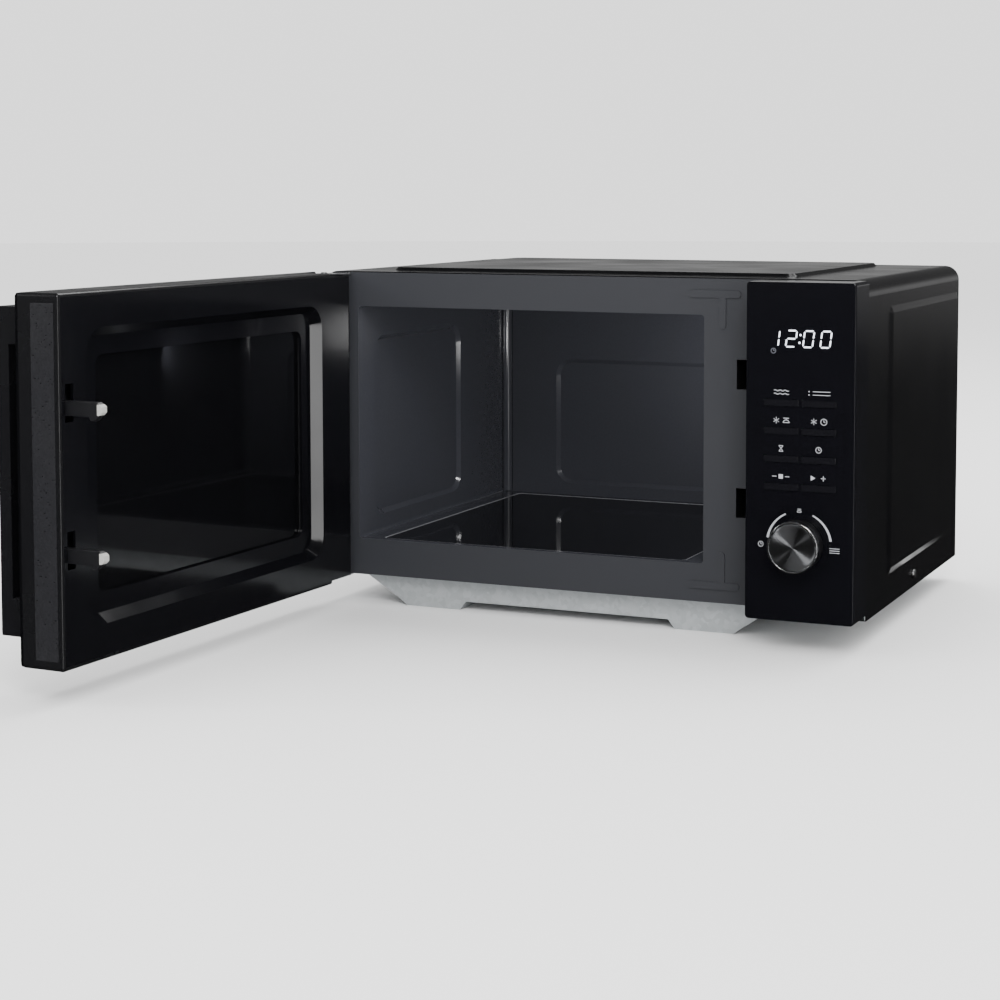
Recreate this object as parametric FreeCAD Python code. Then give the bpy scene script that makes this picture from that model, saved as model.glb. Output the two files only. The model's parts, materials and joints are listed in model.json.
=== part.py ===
import FreeCAD, Part
import math
import os

V = FreeCAD.Vector

# A free-standing flatbed microwave oven with a side-hung door, millimetres, +Z up.
# The origin is the centre of the cabinet's footprint on the plane the feet stand on.
# +X is to the right of somebody facing the door, +Y runs from the front to the back.
# The door is built shut and then swung open to its rest angle about its hinge pins.

# ---------------------------------------------------------------- driving dimensions
# Oven cavity, and the room kept round it
cavity_width = 316.6
cavity_height = 202.8
cavity_depth = 308.0
side_margin = 32.6              # cabinet's left side to the cavity's left wall
bay_width = 135.8               # cavity's right wall to the cabinet's right side
rear_margin = 16.2              # cavity's back wall to the cabinet's back edge
floor_height = 58.5             # table to the cavity floor
roof_margin = 30.2              # cavity ceiling to the cover's shoulder
wall_press = 3.0                # depth of the panels pressed into the cavity walls
liner_flange = 8.0              # turned out behind the front plate

# Sheet metal
sheet = 0.6
pan_sheet = 0.8
sheet_gap = 0.2                 # between nested sheets

# Outer cover
cover_bottom = 22.0
cover_radius = 13.0
roof_step = 2.5
roof_inset = 45.0               # cabinet's left side to the raised roof panel
roof_right_inset = 70.0
roof_front_inset = 35.0
roof_back_inset = 15.0
roof_radius = 14.0
roof_slope = 3.0
side_step = 2.0
side_slope = 7.0
side_inset = 64.0
hem_width = 12.0
side_back_inset = 6.0           # raised side panel to the cover's back edge
side_low_inset = 19.0           # raised side panel above the base plate's flange
side_high_inset = 22.0          # and below the shoulder
screw_run = 158.0               # front plate to the side screws
screw_level = 33.0

# Base plate
base_level = 27.0               # top of the base plate's flat flange
pan_level = 7.5                 # underside of the pan above the table
pan_front = 12.0
foot_depth = 52.0
lip_height = 18.0
foot_width = 51.0
pan_left = 62.2                 # cabinet's left side to the pan's flat bottom
pan_right = 33.0                # and past the cavity's right wall
pan_left_slope = 31.4
pan_right_slope = 27.8

# Floor plate and the chamber under it
plate_thickness = 5.2
plate_border = 18.1             # cavity side walls to the plate's recess
seal_width = 1.5
seat_width = 13.0
sump_level = 42.0
stirrer_radius = 60.0

# Latch openings, placed from half the door's height
slot_width = 15.0
slot_height = 24.0
upper_slot_rise = 44.0
lower_slot_drop = 60.0
latch_travel = 8.0

# Control panel
panel_width = 88.0
panel_depth = 38.0
panel_wall = 2.2
panel_face = 2.5
panel_radius = 3.0
display_drop = 44.0             # panel's top edge to the display's centre
display_width = 60.0
display_height = 26.0
first_row_drop = 94.2
row_pitch = 22.0
key_length = 28.2
key_height = 5.4
key_gap = 2.0
key_travel = 1.2
key_proud = 0.6
tact_height = 5.0               # control board to the tip of a key's switch
moving_gap = 0.3                # round a piece that slides in a hole
knob_drop = 204.5
knob_radius = 20.3
knob_height = 19.0
shaft_radius = 3.0
shaft_gap = 0.05                # radial running clearance

# Door
door_depth = 38.0
door_gap = 2.0                  # door to front plate, shut
edge_gap = 1.5                  # door to control panel
door_bottom = 25.0
glass_thickness = 3.0
frame_wall = 3.0
hinge_radius = 6.0              # rounding of the door's back corner beside the hinge
pivot_inset = 10.0              # hinge axis from the door's hinge edge
pivot_setback = 22.0            # hinge axis in front of the front plate
pin_radius = 2.5
notch_height = 3.0
tab_sheet = 1.5
tab_half = 8.0
tab_shift = 6.5                 # the tab leans inboard, clear of the cover's corner
flange_height = 20.0
open_angle = 92.0
recess_side = 46.5              # door's hinge edge to the recess in its inner face
recess_free = 30.5
recess_end = 26.0
recess_radius = 20.0
recess_depth = 8.0
recess_slope = 6.6
window_depth = 11.5
window_ledge = 14.0
cover_wall = 2.2

# Handle
handle_width = 22.0
handle_reach = 30.0
grip_thickness = 12.0
post_height = 27.0
handle_setback = 15.0
handle_drop = 11.0
handle_rise = 18.0

# Fasteners
screw_radius = 1.9
head_radius = 3.8
head_height = 2.2

# ---------------------------------------------------------------- derived sizes
cabinet_width = side_margin + cavity_width + bay_width
cabinet_depth = sheet + cavity_depth + rear_margin
shoulder = floor_height + cavity_height + roof_margin
left = -cabinet_width / 2
right = cabinet_width / 2
front = -cabinet_depth / 2
back = cabinet_depth / 2
cavity_left = left + side_margin
cavity_right = cavity_left + cavity_width
cavity_middle = (cavity_left + cavity_right) / 2
cavity_back = front + sheet + cavity_depth
cavity_top = floor_height + cavity_height
bay = cavity_right + sheet      # left face of the room for the works
nest = sheet + sheet_gap
rear_face = back - 3.0
rear_front = rear_face - sheet
door_left = left + edge_gap
panel_left = right - panel_width
door_right = panel_left - edge_gap
panel_top = shoulder - 0.5
door_top = panel_top
door_back = front - door_gap
door_front = door_back - door_depth
door_middle = (door_bottom + door_top) / 2
pivot_x = door_left + pivot_inset
pivot_y = front - pivot_setback
tab_levels = [door_bottom + 1.0, door_top - 1.0 - tab_sheet]
panel_front = front - panel_depth
panel_middle = (panel_left + right) / 2
knob_z = panel_top - knob_drop
slot_middle_x = (cavity_right + panel_left) / 2 + 11.4
slot_bottoms = [door_middle + upper_slot_rise, door_middle - lower_slot_drop]
stirrer_x = cavity_middle
stirrer_y = front + sheet + cavity_depth / 2
magnetron_x = bay + 42.0
magnetron_y = stirrer_y
guide_top = sump_level - sheet
guide_bottom = guide_top - 15.7

nodes = {}


# ---------------------------------------------------------------- shape helpers
def box(x0, x1, y0, y1, z0, z1):
    return Part.makeBox(x1 - x0, y1 - y0, z1 - z0, V(x0, y0, z0))


def cylinder(radius, start, direction, length):
    return Part.makeCylinder(radius, length, V(*start), V(*direction))


def tube(outer, inner, start, direction, length):
    return cylinder(outer, start, direction, length).cut(cylinder(inner, start, direction, length))


def place(plane, a, b, level):
    """A point of the plane named by its two axes, at a level along the third."""
    points = {"xz": V(a, level, b), "xy": V(a, b, level), "yz": V(level, a, b)}
    return points[plane]


def outline(plane, a0, a1, b0, b1, level, radius):
    """A closed rectangle with round corners."""
    corners = [(a1 - radius, b1 - radius, 0), (a0 + radius, b1 - radius, 90),
               (a0 + radius, b0 + radius, 180), (a1 - radius, b0 + radius, 270)]
    arcs = []
    for ca, cb, start in corners:
        angles = [math.radians(start + turn) for turn in (0, 45, 90)]
        arcs.append([place(plane, ca + radius * math.cos(t), cb + radius * math.sin(t), level)
                     for t in angles])
    edges = []
    for index, arc in enumerate(arcs):
        edges.append(Part.Arc(*arc).toShape())
        edges.append(Part.makeLine(arc[2], arcs[(index + 1) % 4][0]))
    return Part.Wire(edges)


def block(plane, a0, a1, b0, b1, low, high, radius):
    """A prism on a round-cornered rectangle, from low to high along the third axis."""
    face = Part.Face(outline(plane, a0, a1, b0, b1, low, radius))
    return face.extrude(place(plane, 0, 0, high - low))


def taper(plane, a0, a1, b0, b1, low, high, radius, inset):
    """The same prism, drawn in by the inset at its high end."""
    wide = outline(plane, a0, a1, b0, b1, low, radius)
    narrow = outline(plane, a0 + inset, a1 - inset, b0 + inset, b1 - inset, high,
                     max(radius - inset, 1.0))
    return Part.makeLoft([wide, narrow], True, True)


def prism(points, direction):
    """A prism on a polygon of 3-D points."""
    return Part.Face(Part.makePolygon(points + [points[0]])).extrude(V(*direction))


def fuse(shapes):
    return shapes[0].multiFuse(shapes[1:]).removeSplitter()


def cut(shape, tools):
    return shape.cut(Part.makeCompound(tools))


def add(name, *solids):
    nodes[name] = solids[0] if len(solids) == 1 else Part.makeCompound(list(solids))


def swing(shape):
    """Swing a piece that is built on the shut door to the door's rest angle."""
    turned = shape.copy()
    turned.rotate(V(pivot_x, pivot_y, 0), V(0, 0, 1), -open_angle)
    return turned


# ---------------------------------------------------------------- cabinet sheets
def tunnel(inset, y0, y1):
    """The solid inside of the cover's arch, drawn in by the inset."""
    arch = block("xz", left + inset, right - inset, cover_bottom - 2 * cover_radius,
                 shoulder - inset, y0, y1, cover_radius - inset)
    return arch.common(box(left, right, y0, y1, cover_bottom, shoulder))


def side_panel(x0, x1, direction):
    """The panel pressed outwards in one side of the cover."""
    return taper("yz", front + side_inset, back - side_back_inset, base_level + side_low_inset,
                 shoulder - side_high_inset, x0, x1 + direction * side_step, 6.0, side_slope)


def side_screw_hole(radius):
    """A hole right through both sides, for the screws that hold the cover to the base plate."""
    return cylinder(radius, (left - 5, front + screw_run, screw_level), (1, 0, 0), cabinet_width + 10)


def outer_cover():
    shell = tunnel(0, front, back).cut(tunnel(sheet, front, back))
    roof_area = (left + roof_inset, right - roof_right_inset,
                 front + roof_front_inset, back - roof_back_inset)
    roof_out = taper("xy", *roof_area, shoulder - sheet, shoulder + roof_step,
                     roof_radius, roof_slope)
    roof_in = taper("xy", *roof_area, shoulder - 2 * sheet, shoulder + roof_step - sheet,
                    roof_radius, roof_slope)
    pieces = [shell, roof_out]
    hollows = [roof_in]
    for face, direction in ((left, -1), (right, 1)):
        pieces.append(side_panel(face - direction * sheet, face, direction))
        hollows.append(side_panel(face - direction * 2 * sheet, face - direction * sheet, direction))
        edge = min(face, face - direction * hem_width)
        pieces.append(box(edge, edge + hem_width, front, back, cover_bottom, cover_bottom + sheet))
    holes = [side_screw_hole(screw_radius + 0.2)]
    return cut(fuse(pieces), hollows + holes)


def pan_outline(inset):
    """The pan's cross-section above the table, without its feet, drawn in by the inset."""
    x0 = left + pan_left
    x1 = cavity_right + pan_right
    ends = [(x0 - pan_left_slope, base_level), (x0, pan_level),
            (x1, pan_level), (x1 + pan_right_slope, base_level)]
    slope = inset * 1.2
    raised = pan_level + inset
    return [V(ends[0][0] + slope, 0, base_level), V(ends[1][0] + slope * 0.5, 0, raised),
            V(ends[2][0] - slope * 0.5, 0, raised), V(ends[3][0] - slope, 0, base_level)]


def foot_outline(side, inset):
    """A foot's cross-section, drawn down out of the pan; side is -1 for left, 1 for right."""
    outer_top = left + pan_left if side < 0 else cavity_right + pan_right
    outer_low = outer_top - side * 10.8
    inner_low = outer_low - side * foot_width
    inner_top = inner_low - side * 6.0
    up = pan_level + 0.5 + inset
    return [V(outer_top - side * inset, 0, up), V(outer_low - side * inset * 0.6, 0, inset),
            V(inner_low + side * inset * 0.6, 0, inset), V(inner_top + side * inset, 0, up)]


def lengthwise(points, y0, y1):
    return prism([V(p.x, y0, p.z) for p in points], (0, y1 - y0, 0))


def base_plate():
    y0 = front + pan_front
    y1 = back - pan_front
    outside = [lengthwise(pan_outline(0), y0, y1)]
    inside = [lengthwise(pan_outline(pan_sheet), y0 + pan_sheet, y1 - pan_sheet)]
    for side in (-1, 1):
        for start in (y0, y1 - foot_depth):
            outside.append(lengthwise(foot_outline(side, 0), start, start + foot_depth))
            inside.append(lengthwise(foot_outline(side, pan_sheet), start + pan_sheet,
                                     start + foot_depth - pan_sheet))
    flange = box(left + nest, right - nest, front + sheet + tab_sheet + sheet_gap,
                 rear_front - sheet_gap, base_level - pan_sheet, base_level)
    lips = []
    for face, direction in ((left + nest, 1), (right - nest, -1)):
        edge = min(face, face + direction * pan_sheet)
        lips.append(box(edge, edge + pan_sheet, front + nest, rear_front - sheet_gap,
                        cover_bottom + sheet, cover_bottom + sheet + lip_height))
    holes = [side_screw_hole(screw_radius)]
    vents = []
    for index in range(9):
        x = left + 150 + 12 * index
        vents.append(box(x, x + 4, stirrer_y + 40, stirrer_y + 90, pan_level - 2, pan_level + 3))
    return cut(fuse(outside + [flange] + lips), inside + holes + vents)


def slot_boxes(y0, y1, extra):
    """The two latch openings, grown by the extra all round."""
    half = slot_width / 2 + extra
    return [box(slot_middle_x - half, slot_middle_x + half, y0, y1,
                low - extra, low + slot_height + extra) for low in slot_bottoms]


def pressed_beads():
    """T-shaped beads pressed forward at the opening's right corners."""
    beads = []
    for level, direction in ((cavity_top + 17, 1), (floor_height - 17.5, -1)):
        bar = block("xz", cavity_right - 13, cavity_right + 31, level - 3, level + 3,
                    front - 0.9, front + 0.1, 2.9)
        stem_end = level - direction * 28
        low, high = sorted((stem_end, level))
        stem = block("xz", cavity_right + 12.5, cavity_right + 18.5, low, high,
                     front - 0.9, front + 0.1, 2.9)
        beads += [bar, stem]
    return beads


def cavity_front_plate():
    plate = tunnel(nest, front, front + sheet)
    plate = plate.common(box(left, right, front, front + sheet, base_level, shoulder))
    holes = [block("xz", cavity_left, cavity_right, floor_height, cavity_top,
                   front - 1, front + sheet + 1, 3.0)]
    holes += slot_boxes(front - 1, front + sheet + 1, 0)
    holes.append(box(panel_left + 12, right - 12, front - 1, front + sheet + 1,
                     panel_top - 230, panel_top - 20))
    for low in tab_levels:
        holes.append(box(pivot_x - tab_half + tab_shift - sheet_gap,
                         pivot_x + tab_half + tab_shift + sheet_gap, front - 1, front + sheet + 1,
                         low - sheet_gap, low + tab_sheet + sheet_gap))
    return fuse([cut(plate, holes)] + pressed_beads())


def cavity_spaces(grow):
    """The cavity, its pressed wall panels, the floor plate's recess and the sump, grown."""
    y0 = front + sheet
    main = block("xz", cavity_left - grow, cavity_right + grow, floor_height - grow,
                 cavity_top + grow, y0, cavity_back + grow, 3.0 + grow)
    seat = block("xy", cavity_left + plate_border - grow, cavity_right - plate_border + grow,
                 y0 + 7.2 - grow, cavity_back - 8.0 + grow, floor_height - plate_thickness - 0.4 - grow,
                 floor_height + 1, 6.0 + grow)
    border = plate_border + seat_width
    sump = block("xy", cavity_left + border - grow, cavity_right - border + grow,
                 y0 + 20.0 - grow, cavity_back - 21.0 + grow, sump_level - grow,
                 floor_height + 1, 10.0 + grow)
    left_panel = taper("yz", y0 + 28 - grow, y0 + 205 + grow, floor_height + 14 - grow,
                       cavity_top - 27 + grow, cavity_left + 1, cavity_left - wall_press - grow,
                       18.0, 5.0)
    back_panel = taper("xz", cavity_left + 54 - grow, cavity_right - 54 + grow,
                       floor_height + 10 - grow, cavity_top - 66 + grow, cavity_back - 1,
                       cavity_back + wall_press + grow, 18.0, 5.0)
    return [main, seat, sump, left_panel, back_panel]


def vent_holes():
    """Round holes in the cavity's right wall: lamp light at the back, air outlet in front."""
    holes = []
    for middle_y, columns, rows in ((lamp_y, 6, 6), (front + 70, 9, 5)):
        for column in range(columns):
            for row in range(rows):
                y = middle_y + 6.0 * (column - (columns - 1) / 2)
                z = lamp_z + 6.0 * (row - (rows - 1) / 2)
                holes.append(cylinder(1.75, (cavity_right - 2, y, z), (1, 0, 0), 5))
    return holes


def cavity_liner():
    outside = fuse(cavity_spaces(sheet))
    inside = fuse(cavity_spaces(0) + [block("xz", cavity_left, cavity_right, floor_height,
                                            cavity_top, front, front + sheet + 2, 3.0)])
    shaft_hole = cylinder(12.0, (stirrer_x, stirrer_y, sump_level - 5), (0, 0, 1), 10)
    flange = box(cavity_left - liner_flange, cavity_right + liner_flange, front + sheet,
                 front + 2 * sheet, floor_height - liner_flange, cavity_top + liner_flange)
    return cut(fuse([outside, flange]), [inside, shaft_hole] + vent_holes())


def seat_block(inset, z0, z1):
    return block("xy", cavity_left + plate_border + inset, cavity_right - plate_border - inset,
                 front + sheet + 7.2 + inset, cavity_back - 8.0 - inset, z0, z1, 6.0 - inset)


def louvres(x0, columns, rows, z0):
    """Horizontal air slots in the rear panel."""
    slots = []
    for column in range(columns):
        for row in range(rows):
            x = x0 + 27.0 * column
            z = z0 + 7.0 * row
            slots.append(block("xz", x, x + 22, z, z + 3, rear_front - 1, rear_face + 1, 1.4))
    return slots


gland_x = right - 40.0
gland_z = 60.0
spacer_places = [(left + 60.0, shoulder - 81.5), (right - 60.0, shoulder - 41.5)]


def rear_panel():
    plate = tunnel(nest, rear_front, rear_face)
    plate = plate.common(box(left, right, rear_front, rear_face, cover_bottom + nest, shoulder))
    holes = louvres(bay + 6, 4, 12, fan_z - 42) + louvres(left + 80, 5, 5, shoulder - 60)
    holes.append(cylinder(7.0, (gland_x, rear_front - 1, gland_z), (0, 1, 0), 4))
    for x, z in spacer_places:
        holes.append(cylinder(3.0, (x, rear_front - 1, z), (0, 1, 0), 4))
    return cut(plate, holes)


def rear_spacer(x, z):
    post = cylinder(3.0, (x, rear_front - 3, z), (0, 1, 0), 3 + sheet)
    foot = Part.makeCone(9.0, 7.0, 11.0, V(x, rear_face, z), V(0, 1, 0))
    return fuse([post, foot])


def cord_gland():
    bush = cylinder(7.0, (gland_x, rear_front - 8, gland_z), (0, 1, 0), 8 + sheet)
    collar = cylinder(10.0, (gland_x, rear_face, gland_z), (0, 1, 0), 3)
    nut = cylinder(10.0, (gland_x, rear_front - 6, gland_z), (0, 1, 0), 6)
    bore = cylinder(3.6, (gland_x, rear_front - 10, gland_z), (0, 1, 0), 20)
    return cut(fuse([bush, collar, nut]), [bore])


def screw(x, y, z, direction, shank):
    """A pan-head screw whose head stands on the point and whose shank runs along direction."""
    head = cylinder(head_radius, (x, y, z), [-part for part in direction], head_height)
    stem = cylinder(screw_radius, (x, y, z), direction, shank)
    return fuse([head, stem])


# ---------------------------------------------------------------- works in the bay
lamp_y = cavity_back - 55.0
lamp_z = cavity_top - 42.0
fan_x = bay + 65.0
fan_z = lamp_z - 39.3           # the fan motor's coil passes under the lamp holder
fan_radius = 46.0


def waveguide():
    width = 40.0
    end = magnetron_x + 14
    outer = box(stirrer_x - 26, end, stirrer_y - width, stirrer_y + width, guide_bottom, guide_top)
    inner = box(stirrer_x - 26 + sheet, end - sheet, stirrer_y - width + sheet,
                stirrer_y + width - sheet, guide_bottom + sheet, guide_top - sheet)
    holes = [cylinder(12.0, (stirrer_x, stirrer_y, guide_top - 3), (0, 0, 1), 6),
             cylinder(4.5, (stirrer_x, stirrer_y, guide_bottom - 3), (0, 0, 1), 6),
             cylinder(8.5, (magnetron_x, magnetron_y, guide_top - 3), (0, 0, 1), 6)]
    return cut(outer, [inner] + holes)


def magnetron():
    half_x = 33.0
    half_y = 45.0
    z0 = guide_top
    yoke = box(magnetron_x - half_x, magnetron_x + half_x, magnetron_y - half_y,
               magnetron_y + half_y, z0, z0 + 75)
    air_way = box(magnetron_x - half_x + 1.5, magnetron_x + half_x - 1.5, magnetron_y - half_y - 1,
                  magnetron_y + half_y + 1, z0 + 1.5, z0 + 73.5)
    anode = cylinder(18.0, (magnetron_x, magnetron_y, z0), (0, 0, 1), 75)
    magnets = [cylinder(26.0, (magnetron_x, magnetron_y, z0 + 1), (0, 0, 1), 11),
               cylinder(26.0, (magnetron_x, magnetron_y, z0 + 63), (0, 0, 1), 11)]
    antenna = cylinder(7.0, (magnetron_x, magnetron_y, z0 - 11), (0, 0, 1), 12)
    filter_box = box(magnetron_x - 28, magnetron_x + 28, magnetron_y - 38, magnetron_y + 38,
                     z0 + 74, z0 + 104)
    filter_room = box(magnetron_x - 27, magnetron_x + 27, magnetron_y - 37, magnetron_y + 37,
                      z0 + 75.5, z0 + 103)
    vanes_room = cylinder(14.0, (magnetron_x, magnetron_y, z0 + 14), (0, 0, 1), 47)
    return cut(fuse([yoke.cut(air_way), anode, antenna, filter_box] + magnets),
               [filter_room, vanes_room])


def magnetron_fins():
    fins = []
    for index in range(6):
        z = guide_top + 17 + 8 * index
        fin = box(magnetron_x - 31.5, magnetron_x + 31.5, magnetron_y - 42, magnetron_y + 42, z, z + 0.6)
        fins.append(fin.cut(cylinder(18.0, (magnetron_x, magnetron_y, z - 1), (0, 0, 1), 3)))
    return fins


core_x0 = cavity_right + 64.8
core_x1 = core_x0 + 64.0
core_y0 = front + 38.0
core_y1 = core_y0 + 54.0
core_z0 = base_level + 1.0


def transformer_core():
    core = box(core_x0, core_x1, core_y0, core_y1, core_z0, core_z0 + 72)
    windows = [box(core_x0 + 11, core_x0 + 21, core_y0 - 1, core_y1 + 1, core_z0 + 16, core_z0 + 56),
               box(core_x1 - 21, core_x1 - 11, core_y0 - 1, core_y1 + 1, core_z0 + 16, core_z0 + 56)]
    foot = box(core_x0 - 2, core_x1 + 2, core_y0 - 8, core_y1 + 8, base_level, core_z0)
    return fuse([cut(core, windows), foot])


def transformer_windings():
    coils = []
    for low, high in ((core_z0 + 16, core_z0 + 28), (core_z0 + 30, core_z0 + 56)):
        outer = box(core_x0 + 11, core_x1 - 11, core_y0 - 12, core_y1 + 12, low, high)
        leg = box(core_x0 + 21, core_x1 - 21, core_y0, core_y1, low - 1, high + 1)
        coils.append(outer.cut(leg))
    return coils


can_y0 = back - 118.0
can_y1 = can_y0 + 84.0
can_x = bay + 94.0
can_z = base_level + 18.0


def capacitor_body(grow, y0, y1):
    return block("xz", can_x - 26 - grow, can_x + 26 + grow, can_z - 17 - grow, can_z + 17 + grow,
                 y0, y1, 16.5 + grow)


def high_voltage_capacitor():
    tabs = [box(can_x + side * 10 - 3, can_x + side * 10 + 3, can_y0 - 9, can_y0 + 1,
                can_z - 0.4, can_z + 0.4) for side in (-1, 1)]
    return fuse([capacitor_body(0, can_y0, can_y1)] + tabs)


def capacitor_clamp():
    y0 = can_y0 + 36
    strap = capacitor_body(1.0, y0, y0 + 12).cut(capacitor_body(0, y0 - 1, y0 + 13))
    return strap


def high_voltage_diode():
    top = can_z + 18
    body = cylinder(3.5, (can_x - 9, can_y0 + 42, top + 3.5), (1, 0, 0), 18)
    return body


def fan_shroud():
    y0 = rear_front - 34.0
    x0 = bay + 2
    x1 = right - nest - 2
    outer = box(x0, x1, y0, rear_front - 0.2, fan_z - 58, fan_z + 58)
    hollow = box(x0 + 2, x1 - 2, y0 + 2, rear_front + 1, fan_z - 56, fan_z + 56)
    throat = cylinder(fan_radius + 2, (fan_x, y0 - 1, fan_z), (0, 1, 0), 4)
    arms = [box(fan_x - 3, fan_x + 3, y0, y0 + 2, fan_z - 50, fan_z + 50)]
    axle = cylinder(4.0, (fan_x, y0 - 1, fan_z), (0, 1, 0), 4)
    return cut(fuse([cut(outer, [hollow, throat])] + arms), [axle])


def fan_motor():
    y1 = rear_front - 34.0
    stack = box(fan_x - 30, fan_x + 30, y1 - 26, y1 - 8, fan_z - 24, fan_z + 24)
    coil = box(fan_x - 46, fan_x - 30, y1 - 32, y1 - 2, fan_z - 16, fan_z + 16)
    rotor = cylinder(14.0, (fan_x, y1 - 34, fan_z), (0, 1, 0), 32)
    legs = [box(fan_x - 2.5, fan_x + 2.5, y1 - 8, y1, fan_z + side * 20 - 3, fan_z + side * 20 + 3)
            for side in (-1, 1)]
    bore = cylinder(shaft_radius + shaft_gap, (fan_x, y1 - 24, fan_z), (0, 1, 0), 40)
    return cut(fuse([stack, coil, rotor] + legs), [bore])


def fan_blade():
    y0 = rear_front - 26.0
    hub = cylinder(12.0, (fan_x, y0, fan_z), (0, 1, 0), 14)
    shaft = cylinder(shaft_radius, (fan_x, y0 - 30, fan_z), (0, 1, 0), 31)
    pieces = [hub, shaft]
    for index in range(7):
        blade = box(-1.0, 1.0, 0, 12, 10, fan_radius - 2)
        blade.rotate(V(0, 6, 0), V(0, 0, 1), 40)
        blade.rotate(V(0, 0, 0), V(0, 1, 0), 360.0 / 7 * index)
        blade.translate(V(fan_x, y0 + 1, fan_z))
        pieces.append(blade)
    disc = cylinder(fan_radius - 2, (fan_x, y0 - 2, fan_z), (0, 1, 0), 18)
    return fuse(pieces[:2] + [blade.common(disc) for blade in pieces[2:]])


def stirrer_antenna():
    z0 = sump_level + 4.0
    disc = cylinder(stirrer_radius, (stirrer_x, stirrer_y, z0), (0, 0, 1), 1.0)
    windows = []
    for index in range(3):
        slot = block("xy", 18, stirrer_radius - 12, -9, 9, z0 - 1, z0 + 3, 6.0)
        slot.rotate(V(0, 0, 0), V(0, 0, 1), 120 * index)
        slot.translate(V(stirrer_x, stirrer_y, 0))
        windows.append(slot)
    shaft = cylinder(4.0, (stirrer_x, stirrer_y, guide_bottom - 5), (0, 0, 1), z0 - guide_bottom + 5.5)
    return fuse([cut(disc, windows), shaft])


def stirrer_motor():
    z0 = guide_bottom - 15.5
    body = cylinder(24.0, (stirrer_x, stirrer_y, z0), (0, 0, 1), 15.5)
    ears = box(stirrer_x - 34, stirrer_x + 34, stirrer_y - 6, stirrer_y + 6, guide_bottom - 1.2,
               guide_bottom)
    bore = cylinder(4.0 + shaft_gap, (stirrer_x, stirrer_y, z0 + 9), (0, 0, 1), 12)
    return cut(fuse([body, ears]), [bore])


def lamp_holder():
    outer = box(bay, bay + 34, lamp_y - 21, lamp_y + 21, lamp_z - 21, lamp_z + 21)
    inner = box(bay - 1, bay + 32, lamp_y - 19.5, lamp_y + 19.5, lamp_z - 19.5, lamp_z + 19.5)
    return outer.cut(inner)


def cavity_lamp():
    bulb = cylinder(10.5, (bay + 2, lamp_y, lamp_z), (1, 0, 0), 20)
    ends = [edge for edge in bulb.Edges if len(edge.Vertexes) == 1]
    bulb = bulb.makeFillet(6.0, ends)
    neck = cylinder(6.5, (bay + 18, lamp_y, lamp_z), (1, 0, 0), 14)
    return fuse([bulb, neck])


board_x0 = slot_middle_x - 14.0
board_x1 = slot_middle_x + 12.0


def latch_board():
    board = box(board_x0, board_x1, front + 2 * sheet, front + 36, slot_bottoms[1] - 12,
                slot_bottoms[0] + slot_height + 12)
    ways = [box(slot_middle_x - 8, slot_middle_x + 8, front, front + 34, low - 1,
                low + slot_height + 1) for low in slot_bottoms]
    between = box(board_x0 + 2, board_x1 - 2, front + 4, front + 40,
                  slot_bottoms[1] + slot_height + 4, slot_bottoms[0] - 4)
    bores = [cylinder(1.6 + shaft_gap, (slot_middle_x, front + 20, low + 13), (1, 0, 0), 20)
             for low in slot_bottoms]
    return cut(board, ways + [between] + bores)


def interlock_switches():
    switches = []
    for z in (slot_bottoms[0] + 5, slot_bottoms[1] + 5, slot_bottoms[1] + 42):
        body = box(board_x1, board_x1 + 10, front + 8, front + 36, z, z + 16)
        tabs = box(board_x1 + 4, board_x1 + 5, front + 36, front + 43, z + 3, z + 13)
        switches.append(fuse([body, tabs]))
    pockets = [cylinder(1.6 + shaft_gap, (board_x1 - 1, front + 20, low + 13), (1, 0, 0), 5)
               for low in slot_bottoms]
    return [cut(switch, pockets) for switch in switches]


def interlock_plunger(low):
    tip = slot_middle_x + 6.6
    return cylinder(1.6, (tip, front + 20, low + 13), (1, 0, 0), board_x1 + 2.2 - tip)


def noise_filter_board():
    x0 = bay
    y0 = front + 115.0
    z0 = fan_z + 32.0
    board = box(x0 + 3, x0 + 4.6, y0, y0 + 62, z0, z0 + 60)
    posts = [box(x0, x0 + 3, y, y + 4, z, z + 4) for y in (y0 + 4, y0 + 54) for z in (z0 + 4, z0 + 52)]
    coil = tube(10.0, 5.0, (x0 + 4.6, y0 + 18, z0 + 20), (1, 0, 0), 12)
    cap = box(x0 + 4.6, x0 + 19, y0 + 34, y0 + 52, z0 + 8, z0 + 34)
    fuse_link = cylinder(3.0, (x0 + 9, y0 + 12, z0 + 48), (0, 1, 0), 34)
    clips = [box(x0 + 4.6, x0 + 8, y, y + 5, z0 + 45, z0 + 51) for y in (y0 + 13, y0 + 40)]
    return fuse([board, coil, cap, fuse_link] + posts + clips)


def thermal_cutouts():
    on_wall = fuse([cylinder(8.0, (bay, stirrer_y + 30, floor_height + 110), (1, 0, 0), 6),
                    box(bay, bay + 0.8, stirrer_y + 16, stirrer_y + 44, floor_height + 106,
                        floor_height + 114)])
    z0 = guide_top + 104
    on_magnetron = fuse([cylinder(8.0, (magnetron_x, magnetron_y, z0), (0, 0, 1), 6),
                         box(magnetron_x - 14, magnetron_x + 14, magnetron_y - 4, magnetron_y + 4,
                             z0, z0 + 0.8)])
    return [on_wall, on_magnetron]


# ---------------------------------------------------------------- control panel
key_names = [["key_power", "key_menu"], ["key_defrost_weight", "key_defrost_time"],
             ["key_timer", "key_clock"], ["key_stop", "key_start"]]
display_z = panel_top - display_drop
board_face = panel_front + 14.0
board_back = board_face + 1.6


def key_place(row, column):
    x = panel_middle + (column - 0.5) * (key_length + key_gap)
    return x, panel_top - first_row_drop - row * row_pitch


def key_slot(row, column, grow, y0, y1, radius):
    x, z = key_place(row, column)
    return block("xz", x - key_length / 2 - grow, x + key_length / 2 + grow,
                 z - key_height / 2 - grow, z + key_height / 2 + grow, y0, y1, radius)


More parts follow.
